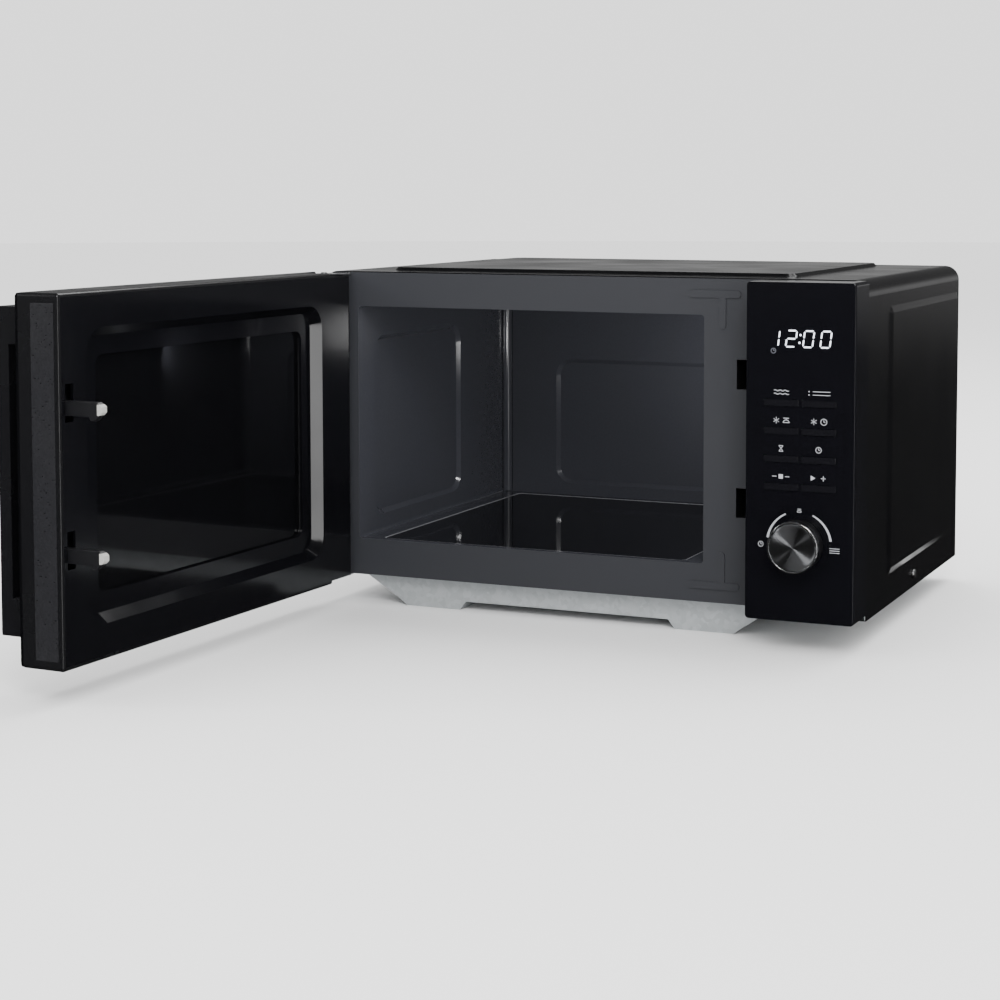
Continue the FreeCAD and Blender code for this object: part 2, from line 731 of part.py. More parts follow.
def key(row, column):
    x, z = key_place(row, column)
    face_back = panel_front + panel_face
    cap = key_slot(row, column, 0, panel_front - key_proud, face_back + 0.5, 1.2)
    front_edges = [edge for edge in cap.Edges
                   if all(abs(v.Y - (panel_front - key_proud)) < 0.01 for v in edge.Vertexes)]
    cap = cap.makeFillet(0.45, front_edges)
    flange = box(x - key_length / 2 + 1, x + key_length / 2 - 1, face_back + 0.1, face_back + 1.3,
                 z - key_height / 2 - 1.2, z + key_height / 2 + 1.2)
    stem_tip = board_face - tact_height - key_travel - 0.2
    stem = cylinder(1.8, (x, face_back + 0.5, z), (0, 1, 0), stem_tip - face_back - 0.5)
    return fuse([cap, flange, stem])


def control_panel_frame():
    outer = block("xz", panel_left, right, door_bottom, panel_top, panel_front, front, panel_radius)
    front_edges = [edge for edge in outer.Edges
                   if all(abs(v.Y - panel_front) < 0.01 for v in edge.Vertexes)]
    outer = outer.makeFillet(1.2, front_edges)
    hollow = block("xz", panel_left + panel_wall, right - panel_wall, door_bottom + panel_wall,
                   panel_top - panel_wall, panel_front + panel_face, front + 1, 2.0)
    holes = [key_slot(row, column, moving_gap, panel_front - 1, panel_front + panel_face + 1, 1.4)
             for row in range(4) for column in range(2)]
    holes.append(display_block(0.1, panel_front - 1, panel_front + panel_face + 1))
    holes.append(cylinder(shaft_radius + 1.0, (panel_middle, panel_front - 1, knob_z), (0, 1, 0), 6))
    posts = [box(x, x + 4, panel_front + panel_face - 0.5, board_face, z, z + 4)
             for x in (panel_left + 5, right - 9) for z in (panel_top - 225, panel_top - 14)]
    return fuse([cut(outer, [hollow] + holes)] + posts)


def display_block(grow, y0, y1):
    return block("xz", panel_middle - display_width / 2 - grow, panel_middle + display_width / 2 + grow,
                 display_z - display_height / 2 - grow, display_z + display_height / 2 + grow,
                 y0, y1, 2.0)


def display_window():
    face_back = panel_front + panel_face
    lens = display_block(0, panel_front, face_back + 0.5)
    rim = display_block(2.0, face_back, face_back + 1.0)
    return fuse([lens, rim])


def display_module():
    return box(panel_middle - 25, panel_middle + 25, panel_front + panel_face + 1.2, board_face,
               display_z - 10, display_z + 10)


def control_board():
    plate = box(panel_left + 4, right - 4, board_face, board_back, panel_top - 228, panel_top - 8)
    relay = [box(panel_left + 10, panel_left + 28, board_back, board_back + 15, z, z + 14)
             for z in (panel_top - 90, panel_top - 120)]
    supply = box(right - 42, right - 12, board_back, board_back + 17, panel_top - 100, panel_top - 72)
    socket = box(panel_left + 34, panel_left + 56, board_back, board_back + 9, panel_top - 150,
                 panel_top - 142)
    return fuse([plate, supply, socket] + relay)


def tact_switches():
    switches = []
    for row in range(4):
        for column in range(2):
            x, z = key_place(row, column)
            body = box(x - 3, x + 3, board_face - 3.6, board_face, z - 3, z + 3)
            nub = cylinder(1.7, (x, board_face - tact_height, z), (0, 1, 0), 2)
            switches.append(fuse([body, nub]))
    return switches


def rotary_encoder():
    body = box(panel_middle - 6, panel_middle + 6, board_face - 7, board_face, knob_z - 6.5, knob_z + 6.5)
    bore = cylinder(shaft_radius + shaft_gap, (panel_middle, board_face - 8, knob_z), (0, 1, 0), 6.5)
    return body.cut(bore)


def knob_parts():
    """Moulded body with its shaft, bright ring and spun metal face."""
    axis = (0, 1, 0)
    tip = panel_front - knob_height
    rear = panel_front - 0.5
    inner = knob_radius - 1.7
    skirt = cylinder(knob_radius - 0.6, (panel_middle, tip + 4, knob_z), axis, rear - tip - 4)
    core = cylinder(inner, (panel_middle, tip + 1.5, knob_z), axis, 4)
    shaft = cylinder(shaft_radius, (panel_middle, rear - 1, knob_z), axis, board_face - 2.5 - rear)
    add("knob_body", fuse([skirt, core, shaft]))
    ring = tube(knob_radius, inner, (panel_middle, tip, knob_z), axis, 4)
    edges = [edge for edge in ring.Edges
             if all(abs(v.Y - tip) < 0.01 for v in edge.Vertexes) and edge.Length > 10]
    add("knob_ring", ring.makeFillet(0.6, edges))
    add("knob_face", cylinder(inner, (panel_middle, tip + 0.5, knob_z), axis, 1.0))


# ---------------------------------------------------------------- door, built shut
glass_back = door_front + glass_thickness
web_back = glass_back + frame_wall
choke_front = web_back + 3.0
choke_right = slot_middle_x - 10.5
choke_left = door_left + 18.5
window_y = door_back - window_depth
recess_left = door_left + recess_side
recess_right = door_right - recess_free
recess_low = door_bottom + recess_end
recess_high = door_top - recess_end
handle_x1 = door_right - handle_setback
handle_x0 = handle_x1 - handle_width
handle_z0 = door_bottom + handle_rise
handle_z1 = door_top - handle_drop
handle_tip = door_front - handle_reach
post_centres = [handle_z0 + post_height / 2, handle_z1 - post_height / 2]
latch_half = 2.0
latch_y0 = door_back - 26.0
latch_y1 = door_back - 13.0
latch_top = slot_bottoms[0] + 20.0
spring_length = 26.0
hook_height = slot_height - latch_travel - 3.0


def door_outer_frame():
    shell = block("xz", door_left, door_right, door_bottom, door_top, glass_back, door_back, 3.0)
    corner = [edge for edge in shell.Edges
              if all(abs(v.Y - door_back) < 0.01 and v.X < door_left + 0.01 for v in edge.Vertexes)]
    shell = shell.makeFillet(hinge_radius - 3.5, corner)
    pocket = box(door_left + frame_wall, door_right - frame_wall, web_back, door_back + 1,
                 door_bottom + frame_wall, door_top - frame_wall)
    light = block("xz", recess_left + 12, recess_right - 12, recess_low + 9, recess_high - 9,
                  glass_back - 1, web_back + 1, 6.0)
    body = cut(shell, [pocket, light])
    bosses = [box(door_left + 1, door_left + 17, pivot_y - 8, pivot_y + 8, low, low + 18)
              for low in (door_bottom + notch_height, door_top - notch_height - 18)]
    right_wall = door_right - frame_wall
    guides = [box(slot_middle_x + latch_half + 0.5, right_wall + 1, latch_y0, latch_y1, z, z + 12)
              for z in (door_middle - 22, door_middle + 14)]
    stop = box(slot_middle_x - 7, right_wall + 1, latch_y0, latch_y1, latch_top + spring_length,
               latch_top + spring_length + 3)
    notches = [box(door_left - 1, door_left + 33, glass_back + 1.0, door_back + 1, low, high)
               for low, high in ((door_bottom - 1, door_bottom + notch_height),
                                 (door_top - notch_height, door_top + 1))]
    pin_hole = cylinder(pin_radius, (pivot_x, pivot_y, door_bottom - 5), (0, 0, 1), 400)
    screws = [cylinder(screw_radius + 0.2, ((handle_x0 + handle_x1) / 2, glass_back - 1, z), (0, 1, 0), 8)
              for z in post_centres]
    return cut(fuse([body, stop] + bosses + guides), notches + [pin_hole] + screws)


def door_front_glass():
    pane = block("xz", door_left + 0.5, door_right - 0.3, door_bottom + 0.3, door_top - 0.3,
                 door_front, glass_back, 3.0)
    front_edges = [edge for edge in pane.Edges
                   if all(abs(v.Y - door_front) < 0.01 for v in edge.Vertexes)]
    pane = pane.makeChamfer(0.6, front_edges)
    holes = [cylinder(screw_radius + 0.2, ((handle_x0 + handle_x1) / 2, door_front - 1, z), (0, 1, 0), 8)
             for z in post_centres]
    return cut(pane, holes)


def door_choke_panel():
    """The steel panel: a perforated screen in a folded rim that chokes stray waves."""
    z0 = door_bottom + frame_wall + 2
    z1 = door_top - frame_wall - 2
    screen = window_y - 0.5
    outer = box(choke_left, choke_right, choke_front, screen, z0, z1)
    inner = box(choke_left + sheet, choke_right - sheet, choke_front - 1, screen - sheet,
                z0 + sheet, z1 - sheet)
    return outer.cut(inner)


def recess(grow):
    """The dished space in the door's inner face: sloping sides, a ledge and the window."""
    x0, x1 = recess_left - grow, recess_right + grow
    z0, z1 = recess_low - grow, recess_high + grow
    deep = door_back - recess_depth
    mouth = taper("xz", x0, x1, z0, z1, door_back, deep - grow, recess_radius + grow,
                  recess_slope)
    lip = block("xz", x0, x1, z0, z1, door_back, door_back + 1, recess_radius + grow)
    inset = recess_slope + window_ledge
    window = block("xz", x0 + inset, x1 - inset, z0 + inset, z1 - inset, window_y - 2, deep + 1,
                   8.0 + grow)
    return mouth, lip, window


def door_choke_cover():
    wall = frame_wall + sheet_gap
    x0, x1 = door_left + wall, door_right - wall
    z0, z1 = door_bottom + wall, door_top - wall
    plate = box(x0, x1, window_y, door_back, z0, z1)
    mouth, lip, window = recess(0)
    grown_mouth, _, _ = recess(cover_wall)
    hollow = box(x0 + cover_wall, x1 - cover_wall, window_y - 1, door_back - cover_wall,
                 z0 + cover_wall, z1 - cover_wall)
    ledge = box(x0, x1, window_y - 1, door_back - recess_depth - cover_wall + 0.6, z0, z1)
    hollow = hollow.cut(grown_mouth).fuse(ledge.common(box(x0 + cover_wall, x1 - cover_wall,
                                                           window_y - 1, door_back, z0 + cover_wall,
                                                           z1 - cover_wall)).cut(grown_mouth))
    plate = cut(plate, [hollow, mouth, lip, window])
    slots = [box(slot_middle_x - 4.5, slot_middle_x + 4.5, window_y - 2, door_back + 1,
                 low - 1.5, low + slot_height + 1.5) for low in slot_bottoms]
    return cut(plate, slots)


def door_inner_film():
    inset = recess_slope + window_ledge - 5
    return block("xz", recess_left + inset, recess_right - inset, recess_low + inset,
                 recess_high - inset, window_y - 0.5, window_y - 0.1, 8.0)


def door_handle():
    bar = box(handle_x0, handle_x1, handle_tip, door_front, handle_z0, handle_z1)
    outer_edges = [edge for edge in bar.Edges
                   if all(abs(v.Y - handle_tip) < 0.01 for v in edge.Vertexes)]
    bar = bar.makeChamfer(2.0, outer_edges)
    gap = box(handle_x0 - 1, handle_x1 + 1, handle_tip + grip_thickness, door_front + 1,
              handle_z0 + post_height, handle_z1 - post_height)
    holes = [cylinder(screw_radius, ((handle_x0 + handle_x1) / 2, door_front - 14, z), (0, 1, 0), 20)
             for z in post_centres]
    return cut(bar, [gap] + holes)


def handle_screw(z):
    return screw((handle_x0 + handle_x1) / 2, web_back, z, (0, -1, 0), frame_wall + glass_thickness + 12)


def door_latch():
    """The sliding bar inside the door's free edge, with its two hooks."""
    pieces = [box(slot_middle_x - latch_half, slot_middle_x + latch_half, latch_y0, latch_y1,
                  slot_bottoms[1] - 4, latch_top)]
    tip = front + 28
    for low in slot_bottoms:
        base = low + 0.6
        top = base + hook_height
        side = [(latch_y1 - 2, base + 2.5), (front + 17, base + 2.5), (front + 18, base),
                (front + 22, base), (tip, base + 6), (tip, top - 3), (front + 24, top),
                (latch_y1 - 2, top)]
        pieces.append(prism([V(slot_middle_x - 3, y, z) for y, z in side], (6, 0, 0)))
    return fuse(pieces)


def latch_spring():
    coil_radius = 3.6
    wire = 0.5
    z0 = latch_top + wire + 0.1
    height = spring_length - 2 * wire - 0.2
    turns = 7
    path = Part.makeHelix(height / turns, height, coil_radius)
    profile = Part.Wire(Part.makeCircle(wire, V(coil_radius, 0, 0), V(0, 1, 0)))
    coil = Part.Wire(path.Edges).makePipeShell([profile], True, True)
    coil.translate(V(slot_middle_x, (latch_y0 + latch_y1) / 2, z0))
    return coil


def hinge_bracket(tab_low, flange_direction):
    """A steel angle: a flange behind the front plate, and a tab that carries the hinge pin."""
    x0, x1 = pivot_x - tab_half + tab_shift, pivot_x + tab_half + tab_shift
    inner = front + sheet
    bend = front - 3.0
    nose = block("xy", pivot_x - tab_half, pivot_x + tab_half, pivot_y - tab_half, pivot_y + tab_half,
                 tab_low, tab_low + tab_sheet, tab_half - 0.1)
    side = [(pivot_x - tab_half, pivot_y), (pivot_x + tab_half, pivot_y), (x1, bend),
            (x1, inner + tab_sheet), (x0, inner + tab_sheet), (x0, bend)]
    arm = prism([V(x, y, tab_low) for x, y in side], (0, 0, tab_sheet))
    flange_low = tab_low if flange_direction > 0 else tab_low + tab_sheet - flange_height
    flange = box(x0, x1, inner, inner + tab_sheet, flange_low, flange_low + flange_height)
    hole = cylinder(pin_radius + shaft_gap, (pivot_x, pivot_y, tab_low - 5), (0, 0, 1), 12)
    return cut(fuse([nose, arm, flange]), [hole])


def hinge_pin(low, high):
    return cylinder(pin_radius, (pivot_x, pivot_y, low), (0, 0, 1), high - low)


# ---------------------------------------------------------------- the nodes
def build_cabinet():
    add("outer_cover", outer_cover())
    add("base_plate", base_plate())
    add("cavity_front_plate", cavity_front_plate())
    add("cavity_liner", cavity_liner())
    add("rear_panel", rear_panel())
    plate_low = floor_height - plate_thickness - 0.4
    add("ceramic_floor_plate", seat_block(seal_width, plate_low, floor_height - 0.4))
    add("floor_seal", seat_block(0, plate_low, floor_height - 0.2).cut(
        seat_block(seal_width, plate_low - 1, floor_height + 1)))
    add("rear_spacers", *[rear_spacer(x, z) for x, z in spacer_places])
    add("cord_gland", cord_gland())
    add("cover_screws", screw(right, front + screw_run, screw_level, (-1, 0, 0), 8),
        screw(left, front + screw_run, screw_level, (1, 0, 0), 8))
    add("hinge_bracket_lower", hinge_bracket(tab_levels[0], 1))
    add("hinge_bracket_upper", hinge_bracket(tab_levels[1], -1))


def build_works():
    add("waveguide", waveguide())
    add("magnetron", magnetron())
    add("magnetron_fins", *magnetron_fins())
    add("transformer_core", transformer_core())
    add("transformer_windings", *transformer_windings())
    add("high_voltage_capacitor", high_voltage_capacitor())
    add("capacitor_clamp", capacitor_clamp())
    add("high_voltage_diode", high_voltage_diode())
    add("fan_shroud", fan_shroud())
    add("fan_motor", fan_motor())
    add("fan_blade", fan_blade())
    add("stirrer_antenna", stirrer_antenna())
    add("stirrer_motor", stirrer_motor())
    add("lamp_holder", lamp_holder())
    add("cavity_lamp", cavity_lamp())
    add("latch_board", latch_board())
    add("interlock_switches", *interlock_switches())
    add("interlock_plunger_upper", interlock_plunger(slot_bottoms[0]))
    add("interlock_plunger_lower", interlock_plunger(slot_bottoms[1]))
    add("noise_filter_board", noise_filter_board())
    add("thermal_cutouts", *thermal_cutouts())


def build_control_panel():
    add("control_panel_frame", control_panel_frame())
    add("display_window", display_window())
    add("display_module", display_module())
    add("control_board", control_board())
    add("tact_switches", *tact_switches())
    add("rotary_encoder", rotary_encoder())
    knob_parts()
    for row, names in enumerate(key_names):
        for column, name in enumerate(names):
            add(name, key(row, column))


def build_door():
    pins = [hinge_pin(door_bottom, door_bottom + 18), hinge_pin(door_top - 18, door_top)]
    shut = {
        "door_outer_frame": [door_outer_frame()],
        "door_front_glass": [door_front_glass()],
        "door_choke_panel": [door_choke_panel()],
        "door_choke_cover": [door_choke_cover()],
        "door_inner_film": [door_inner_film()],
        "door_handle": [door_handle()],
        "handle_screws": [handle_screw(z) for z in post_centres],
        "hinge_pins": pins,
        "door_latch": [door_latch()],
        "latch_spring": [latch_spring()],
    }
    for name, shapes in shut.items():
        add(name, *[swing(shape) for shape in shapes])


build_cabinet()
build_works()
build_control_panel()
build_door()

os.makedirs("parts", exist_ok=True)
for name, shape in nodes.items():
    shape.exportStep("parts/" + name + ".step")
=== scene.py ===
import json
import logging
import math
from dataclasses import dataclass, field
from enum import Enum

import bmesh
import bpy
from mathutils import Matrix, Vector, noise


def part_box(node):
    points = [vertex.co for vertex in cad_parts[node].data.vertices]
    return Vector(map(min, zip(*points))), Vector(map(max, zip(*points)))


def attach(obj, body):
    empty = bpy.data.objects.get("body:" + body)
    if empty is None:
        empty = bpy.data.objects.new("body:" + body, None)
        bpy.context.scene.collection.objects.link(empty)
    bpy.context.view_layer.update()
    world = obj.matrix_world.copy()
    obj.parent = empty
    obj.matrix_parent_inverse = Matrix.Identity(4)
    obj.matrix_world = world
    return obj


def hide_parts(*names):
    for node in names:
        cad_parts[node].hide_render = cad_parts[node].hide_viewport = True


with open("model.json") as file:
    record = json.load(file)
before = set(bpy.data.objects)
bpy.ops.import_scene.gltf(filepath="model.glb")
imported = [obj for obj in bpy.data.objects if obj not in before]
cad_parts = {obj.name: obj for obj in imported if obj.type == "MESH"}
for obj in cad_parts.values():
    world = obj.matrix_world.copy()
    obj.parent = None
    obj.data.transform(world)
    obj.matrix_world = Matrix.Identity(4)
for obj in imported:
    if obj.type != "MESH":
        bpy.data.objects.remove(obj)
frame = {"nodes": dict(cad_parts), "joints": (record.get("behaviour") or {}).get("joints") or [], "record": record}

# A free-standing flatbed microwave oven with its side-hung door open. Each sub-assembly of the
# oven is a class below: its sizes are fields, in millimetres, and its methods build and dress it.

LOG = logging.getLogger("microwave_oven")
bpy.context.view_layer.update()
MM = 0.001
# Wear: cloudy patches about 7 cm across, and the part of the noise that turns into roughness.
WEAR_SCALE = 14.0
WEAR_SPAN = (0.3, 0.7)

Pair = tuple[float, float]
Point = tuple[float, float, float]
Outline = list[Pair]
Mesh = tuple[list[Point], list[list[int]]]
Tree = bpy.types.NodeTree
Node = bpy.types.Node
Socket = bpy.types.NodeSocket
Piece = bpy.types.Object


# ---------------------------------------------------------------- colour and nodes
def srgb(colour: str) -> tuple[float, float, float, float]:
    """Turn an sRGB hex colour into the linear colour that the shaders take.

    Args:
        colour: Six hex digits, such as "4d4d52".

    Returns:
        Linear red, green and blue, and an alpha of one.
    """
    parts = [int(colour[start:start + 2], 16) / 255 for start in (0, 2, 4)]
    linear = [part / 12.92 if part <= 0.04045 else ((part + 0.055) / 1.055) ** 2.4 for part in parts]
    return (*linear, 1.0)


def add_node(
    tree: Tree, kind: str, inputs: dict[str | int, object] | None = None, **settings: object
) -> Node:
    """Add one node, with its settings, its input values and the links into it.

    Args:
        tree: The node tree that takes the node.
        kind: The node's type, such as "ShaderNodeBump".
        inputs: A value for each input, or the output socket that feeds it.
        **settings: Properties of the node itself.

    Returns:
        The new node.
    """
    node = tree.nodes.new(kind)
    for name, value in settings.items():
        setattr(node, name, value)
    for name, value in (inputs or {}).items():
        if isinstance(value, Socket):
            tree.links.new(value, node.inputs[name])
        else:
            node.inputs[name].default_value = value
    return node


class Surface(Enum):
    """How a surface was made, which settles the pattern that the light finds in it."""

    SPRAYED = "paint or enamel with a slight orange peel"
    POLISHED = "flat and glossy, with faint wipe marks"
    MOULDED = "plastic from a spark-eroded mould, with a fine pebble grain"
    ROLLED = "sheet metal with lengthwise rolling lines"
    SPANGLED = "zinc that froze into crystals"
    TURNED = "metal faced on a lathe, with ring marks"
    LAMINATED = "thin sheets stacked on edge"
    WOUND = "turns of wire side by side"
    PRINTED = "laminate board with tracks under a lacquer"


@dataclass(frozen=True)
class Finish:
    """One material and how its surface was made.

    Args:
        name: What the real material is called.
        colour: Its main colour, as sRGB hex.
        second: The colour that its pattern turns to.
        surface: How it was made.
        grain: Size of one feature of the pattern, in millimetres.
        relief: Height of the pattern, in millimetres.
        rough: Roughness, and how much more of it the pattern adds.
        metallic: One for a metal, none for the rest.
        ior: Index of refraction; metals keep the usual one.
        alpha: How much of a see-through sheet is opaque.
        glow: Strength of its own light.
        slot: The record's material slot that it belongs to; not used by this script.
    """

    name: str
    colour: str
    second: str
    surface: Surface
    grain: float
    relief: float
    rough: Pair
    slot: str
    metallic: float = 0.0
    ior: float = 1.5
    alpha: float = 1.0
    glow: float = 0.0

    def pattern(self, tree: Tree, place: Socket) -> Socket:
        """Add the nodes that draw the surface's own pattern.

        Args:
            tree: The material's node tree.
            place: The point in the object's space, in metres.

        Returns:
            The socket with the pattern's height, from none to one.
        """
        scale = 1 / (self.grain * MM)
        if self.surface is Surface.ROLLED:
            stretch = (0.04, 1.0, 1.0)
            place = add_node(tree, "ShaderNodeMapping", {"Vector": place, "Scale": stretch}).outputs[0]
        if self.surface is Surface.MOULDED:
            cells = {"Vector": place, "Scale": scale, "Smoothness": 0.8}
            return add_node(tree, "ShaderNodeTexVoronoi", cells, feature="SMOOTH_F1").outputs["Distance"]
        if self.surface is Surface.SPANGLED:
            cells = add_node(tree, "ShaderNodeTexVoronoi", {"Vector": place, "Scale": scale})
            return add_node(tree, "ShaderNodeSeparateColor", {"Color": cells.outputs["Color"]}).outputs[0]
        if self.surface in (Surface.LAMINATED, Surface.WOUND):
            axis = "X" if self.surface is Surface.LAMINATED else "Z"
            lines = {"Vector": place, "Scale": scale * math.pi / 10, "Distortion": 0.4}
            return add_node(tree, "ShaderNodeTexWave", lines, bands_direction=axis).outputs["Fac"]
        if self.surface is Surface.PRINTED:
            tracks = {"Vector": place, "Scale": scale, "Randomness": 0.35}
            cells = add_node(tree, "ShaderNodeTexVoronoi", tracks, feature="F2", distance="CHEBYCHEV")
            return cells.outputs["Distance"]
        cloud = {"Vector": place, "Scale": scale, "Detail": 3.0, "Roughness": 0.6}
        return add_node(tree, "ShaderNodeTexNoise", cloud).outputs["Fac"]

    def material(self) -> bpy.types.Material:
        """Build the finish's material, or find it if a piece already wears it.

        Returns:
            The material.
        """
        made = bpy.data.materials.get(self.name)
        if made:
            return made
        made = bpy.data.materials.new(self.name)
        made.use_nodes = True
        tree = made.node_tree
        tree.nodes.clear()
        place = add_node(tree, "ShaderNodeTexCoord").outputs["Object"]
        height = self.pattern(tree, place)
        wear = add_node(tree, "ShaderNodeTexNoise", {"Vector": place, "Scale": WEAR_SCALE, "Detail": 4.0})
        tint = add_node(tree, "ShaderNodeMixRGB", {
            "Fac": height, "Color1": srgb(self.colour), "Color2": srgb(self.second)})
        low, more = self.rough
        rough = add_node(tree, "ShaderNodeMapRange", {
            "Value": wear.outputs["Fac"], "From Min": WEAR_SPAN[0], "From Max": WEAR_SPAN[1],
            "To Min": low, "To Max": low + more})
        bump = add_node(tree, "ShaderNodeBump", {
            "Height": height, "Distance": self.relief * MM, "Strength": 1.0})
        shader = add_node(tree, "ShaderNodeBsdfPrincipled", {
            "Base Color": tint.outputs[0], "Roughness": rough.outputs[0], "Normal": bump.outputs[0],
            "Metallic": self.metallic, "IOR": self.ior, "Alpha": self.alpha})
        if self.glow:
            shader.inputs["Emission Color"].default_value = srgb(self.second)
            shader.inputs["Emission Strength"].default_value = self.glow
        add_node(tree, "ShaderNodeOutputMaterial", {"Surface": shader.outputs[0]})
        self.finish_nodes(tree, shader, place)
        return made

    def finish_nodes(self, tree: Tree, shader: Node, place: Socket) -> None:
        """Add what only some finishes have; a plain one adds nothing."""


@dataclass(frozen=True)
class TurnedFinish(Finish):
    """Metal faced on a lathe: rings round an axis along Y, which spread the light in fans.

    Args:
        centre: The axis, as x and z in millimetres.
        ring: Distance from one ring mark to the next, in millimetres.
    """

    centre: Pair = (0.0, 0.0)
    ring: float = 0.45

    def finish_nodes(self, tree: Tree, shader: Node, place: Socket) -> None:
        """Lay the ring marks and turn the sheen round the axis.

        Args:
            tree: The material's node tree.
            shader: The surface shader.
            place: The point in the object's space, in metres.
        """
        x, z = self.centre
        about = add_node(tree, "ShaderNodeMapping", {
            "Vector": place, "Location": (-x * MM, 0.0, -z * MM), "Scale": (1.0, 0.0, 1.0)})
        rings = add_node(tree, "ShaderNodeTexWave", {
            "Vector": about.outputs[0], "Scale": math.pi / (10 * self.ring * MM)},
            wave_type="RINGS", rings_direction="SPHERICAL")
        bump = add_node(tree, "ShaderNodeBump", {
            "Height": rings.outputs["Fac"], "Distance": self.relief * MM, "Strength": 1.0})
        tree.links.new(bump.outputs[0], shader.inputs["Normal"])
        tangent = add_node(tree, "ShaderNodeTangent", direction_type="RADIAL", axis="Y")
        tree.links.new(tangent.outputs[0], shader.inputs["Tangent"])
        shader.inputs["Anisotropic"].default_value = 1.0


@dataclass(frozen=True)
class WindowFinish(Finish):
    """A pane printed black round its edge, with a smoked window left clear in the middle.

    Args:
        low: The window's lowest corner, as y and z in millimetres.
        high: Its highest corner.
        clear: How opaque the smoked glass is inside the window.
    """

    low: Pair = (0.0, 0.0)
    high: Pair = (0.0, 0.0)
    clear: float = 0.6

    def finish_nodes(self, tree: Tree, shader: Node, place: Socket) -> None:
        """Thin the print inside the window.

        Args:
            tree: The material's node tree.
            shader: The surface shader.
            place: The point in the object's space, in metres.
        """
        axes = add_node(tree, "ShaderNodeSeparateXYZ", {"Vector": place})
        inside = None
        for axis, low, high in (("Y", self.low[0], self.high[0]), ("Z", self.low[1], self.high[1])):
            away = add_node(tree, "ShaderNodeMath", {
                0: axes.outputs[axis], 1: (low + high) / 2 * MM}, operation="SUBTRACT")
            away = add_node(tree, "ShaderNodeMath", {0: away.outputs[0]}, operation="ABSOLUTE")
            within = add_node(tree, "ShaderNodeMath", {
                0: away.outputs[0], 1: (high - low) / 2 * MM}, operation="LESS_THAN").outputs[0]
            both = {0: within, 1: inside if inside else 1.0}
            inside = add_node(tree, "ShaderNodeMath", both, operation="MULTIPLY").outputs[0]
        alpha = add_node(tree, "ShaderNodeMapRange", {
            "Value": inside, "To Min": self.alpha, "To Max": self.clear})
        tree.links.new(alpha.outputs[0], shader.inputs["Alpha"])


# ---------------------------------------------------------------- meshes
def shape(
    name: str,
    points: list[Point],
    faces: list[list[int]],
    finish: Finish,
    body: str,
    stands_for: tuple[str, ...] = (),
) -> Piece:
    """Make a piece from points in millimetres and give it its finish and body.

    Args:
        name: The piece's name.
        points: Its corners, in the row frame.
        faces: Its faces, as indices of the points.
        finish: What it is made of.
        body: The CAD body that it rides on.
        stands_for: The CAD nodes that it replaces.

    Returns:
        The new piece.
    """
    mesh = bpy.data.meshes.new(name)
    mesh.from_pydata([Vector(point) * MM for point in points], [], faces)
    work = bmesh.new()
    work.from_mesh(mesh)
    bmesh.ops.remove_doubles(work, verts=work.verts, dist=1e-7)
    bmesh.ops.recalc_face_normals(work, faces=work.faces)
    work.to_mesh(mesh)
    work.free()
    mesh.materials.append(finish.material())
    piece = bpy.data.objects.new(name, mesh)
    bpy.context.scene.collection.objects.link(piece)
    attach(piece, body)
    if stands_for:
        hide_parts(*stands_for)
    LOG.info("built %s: %d faces", name, len(mesh.polygons))
    return piece


def band(first: int, second: int, count: int) -> list[list[int]]:
    """Join two closed rings of points with one face at each step.

    Args:
        first: Index where the first ring starts.
        second: Index where the second ring starts.
        count: Number of points in each.

    Returns:
        The faces.
    """
    steps = [(i, (i + 1) % count) for i in range(count)]
    return [[first + i, first + after, second + after, second + i] for i, after in steps]


def prism(outline: Outline, low: float, high: float, plane: str = "xz") -> Mesh:
    """Push an outline along the axis that its plane doesn't name.

    Args:
        outline: Its corners, in order.
        low: Where the prism starts along the third axis.
        high: Where it ends.
        plane: The two axes that the outline is drawn in.

    Returns:
        Points and faces.
    """
    def at(a: float, b: float, level: float) -> Point:
        """Place a corner in three axes."""
        return {"xz": (a, level, b), "yz": (level, a, b), "xy": (a, b, level)}[plane]

    count = len(outline)
    points = [at(a, b, level) for level in (low, high) for a, b in outline]
    return points, [list(range(count)), list(range(count, 2 * count))] + band(0, count, count)


def joined(parts: list[Mesh]) -> Mesh:
    """Put several sets of points and faces into one.

    Args:
        parts: Points and faces of each.

    Returns:
        Points and faces of them all.
    """
    points: list[Point] = []
    faces: list[list[int]] = []
    for some, sides in parts:
        faces += [[index + len(points) for index in side] for side in sides]
        points += some
    return points, faces


def lathe(profile: Outline, centre: Pair, steps: int = 128) -> Mesh:
    """Turn a profile round an axis that runs along Y.

    Args:
        profile: Radius and y of each corner, from the axis and back to it.
        centre: The axis, as x and z.
        steps: Facets in a whole turn.

    Returns:
        Points and faces.
    """
    x, z = centre
    turns = [2 * math.pi * step / steps for step in range(steps)]
    points = [(x + r * math.cos(t), y, z + r * math.sin(t)) for r, y in profile for t in turns]
    faces = []
    for row in range(len(profile) - 1):
        for corners in band(row * steps, (row + 1) * steps, steps):
            if profile[row][0] == 0:
                corners.pop(1)
            elif profile[row + 1][0] == 0:
                corners.pop(2)
            faces.append(corners)
    return points, faces


def arc(centre: Pair, radius: float, start: float, end: float, steps: int = 6) -> Outline:
    """Points along a circular arc.

    Args:
        centre: Its centre.
        radius: Its radius.
        start: First angle, in degrees.
        end: Last angle.
        steps: Number of straight stretches.

    Returns:
        The points, both ends included.
    """
    angles = [math.radians(start + (end - start) * step / steps) for step in range(steps + 1)]
    return [(centre[0] + radius * math.cos(t), centre[1] + radius * math.sin(t)) for t in angles]


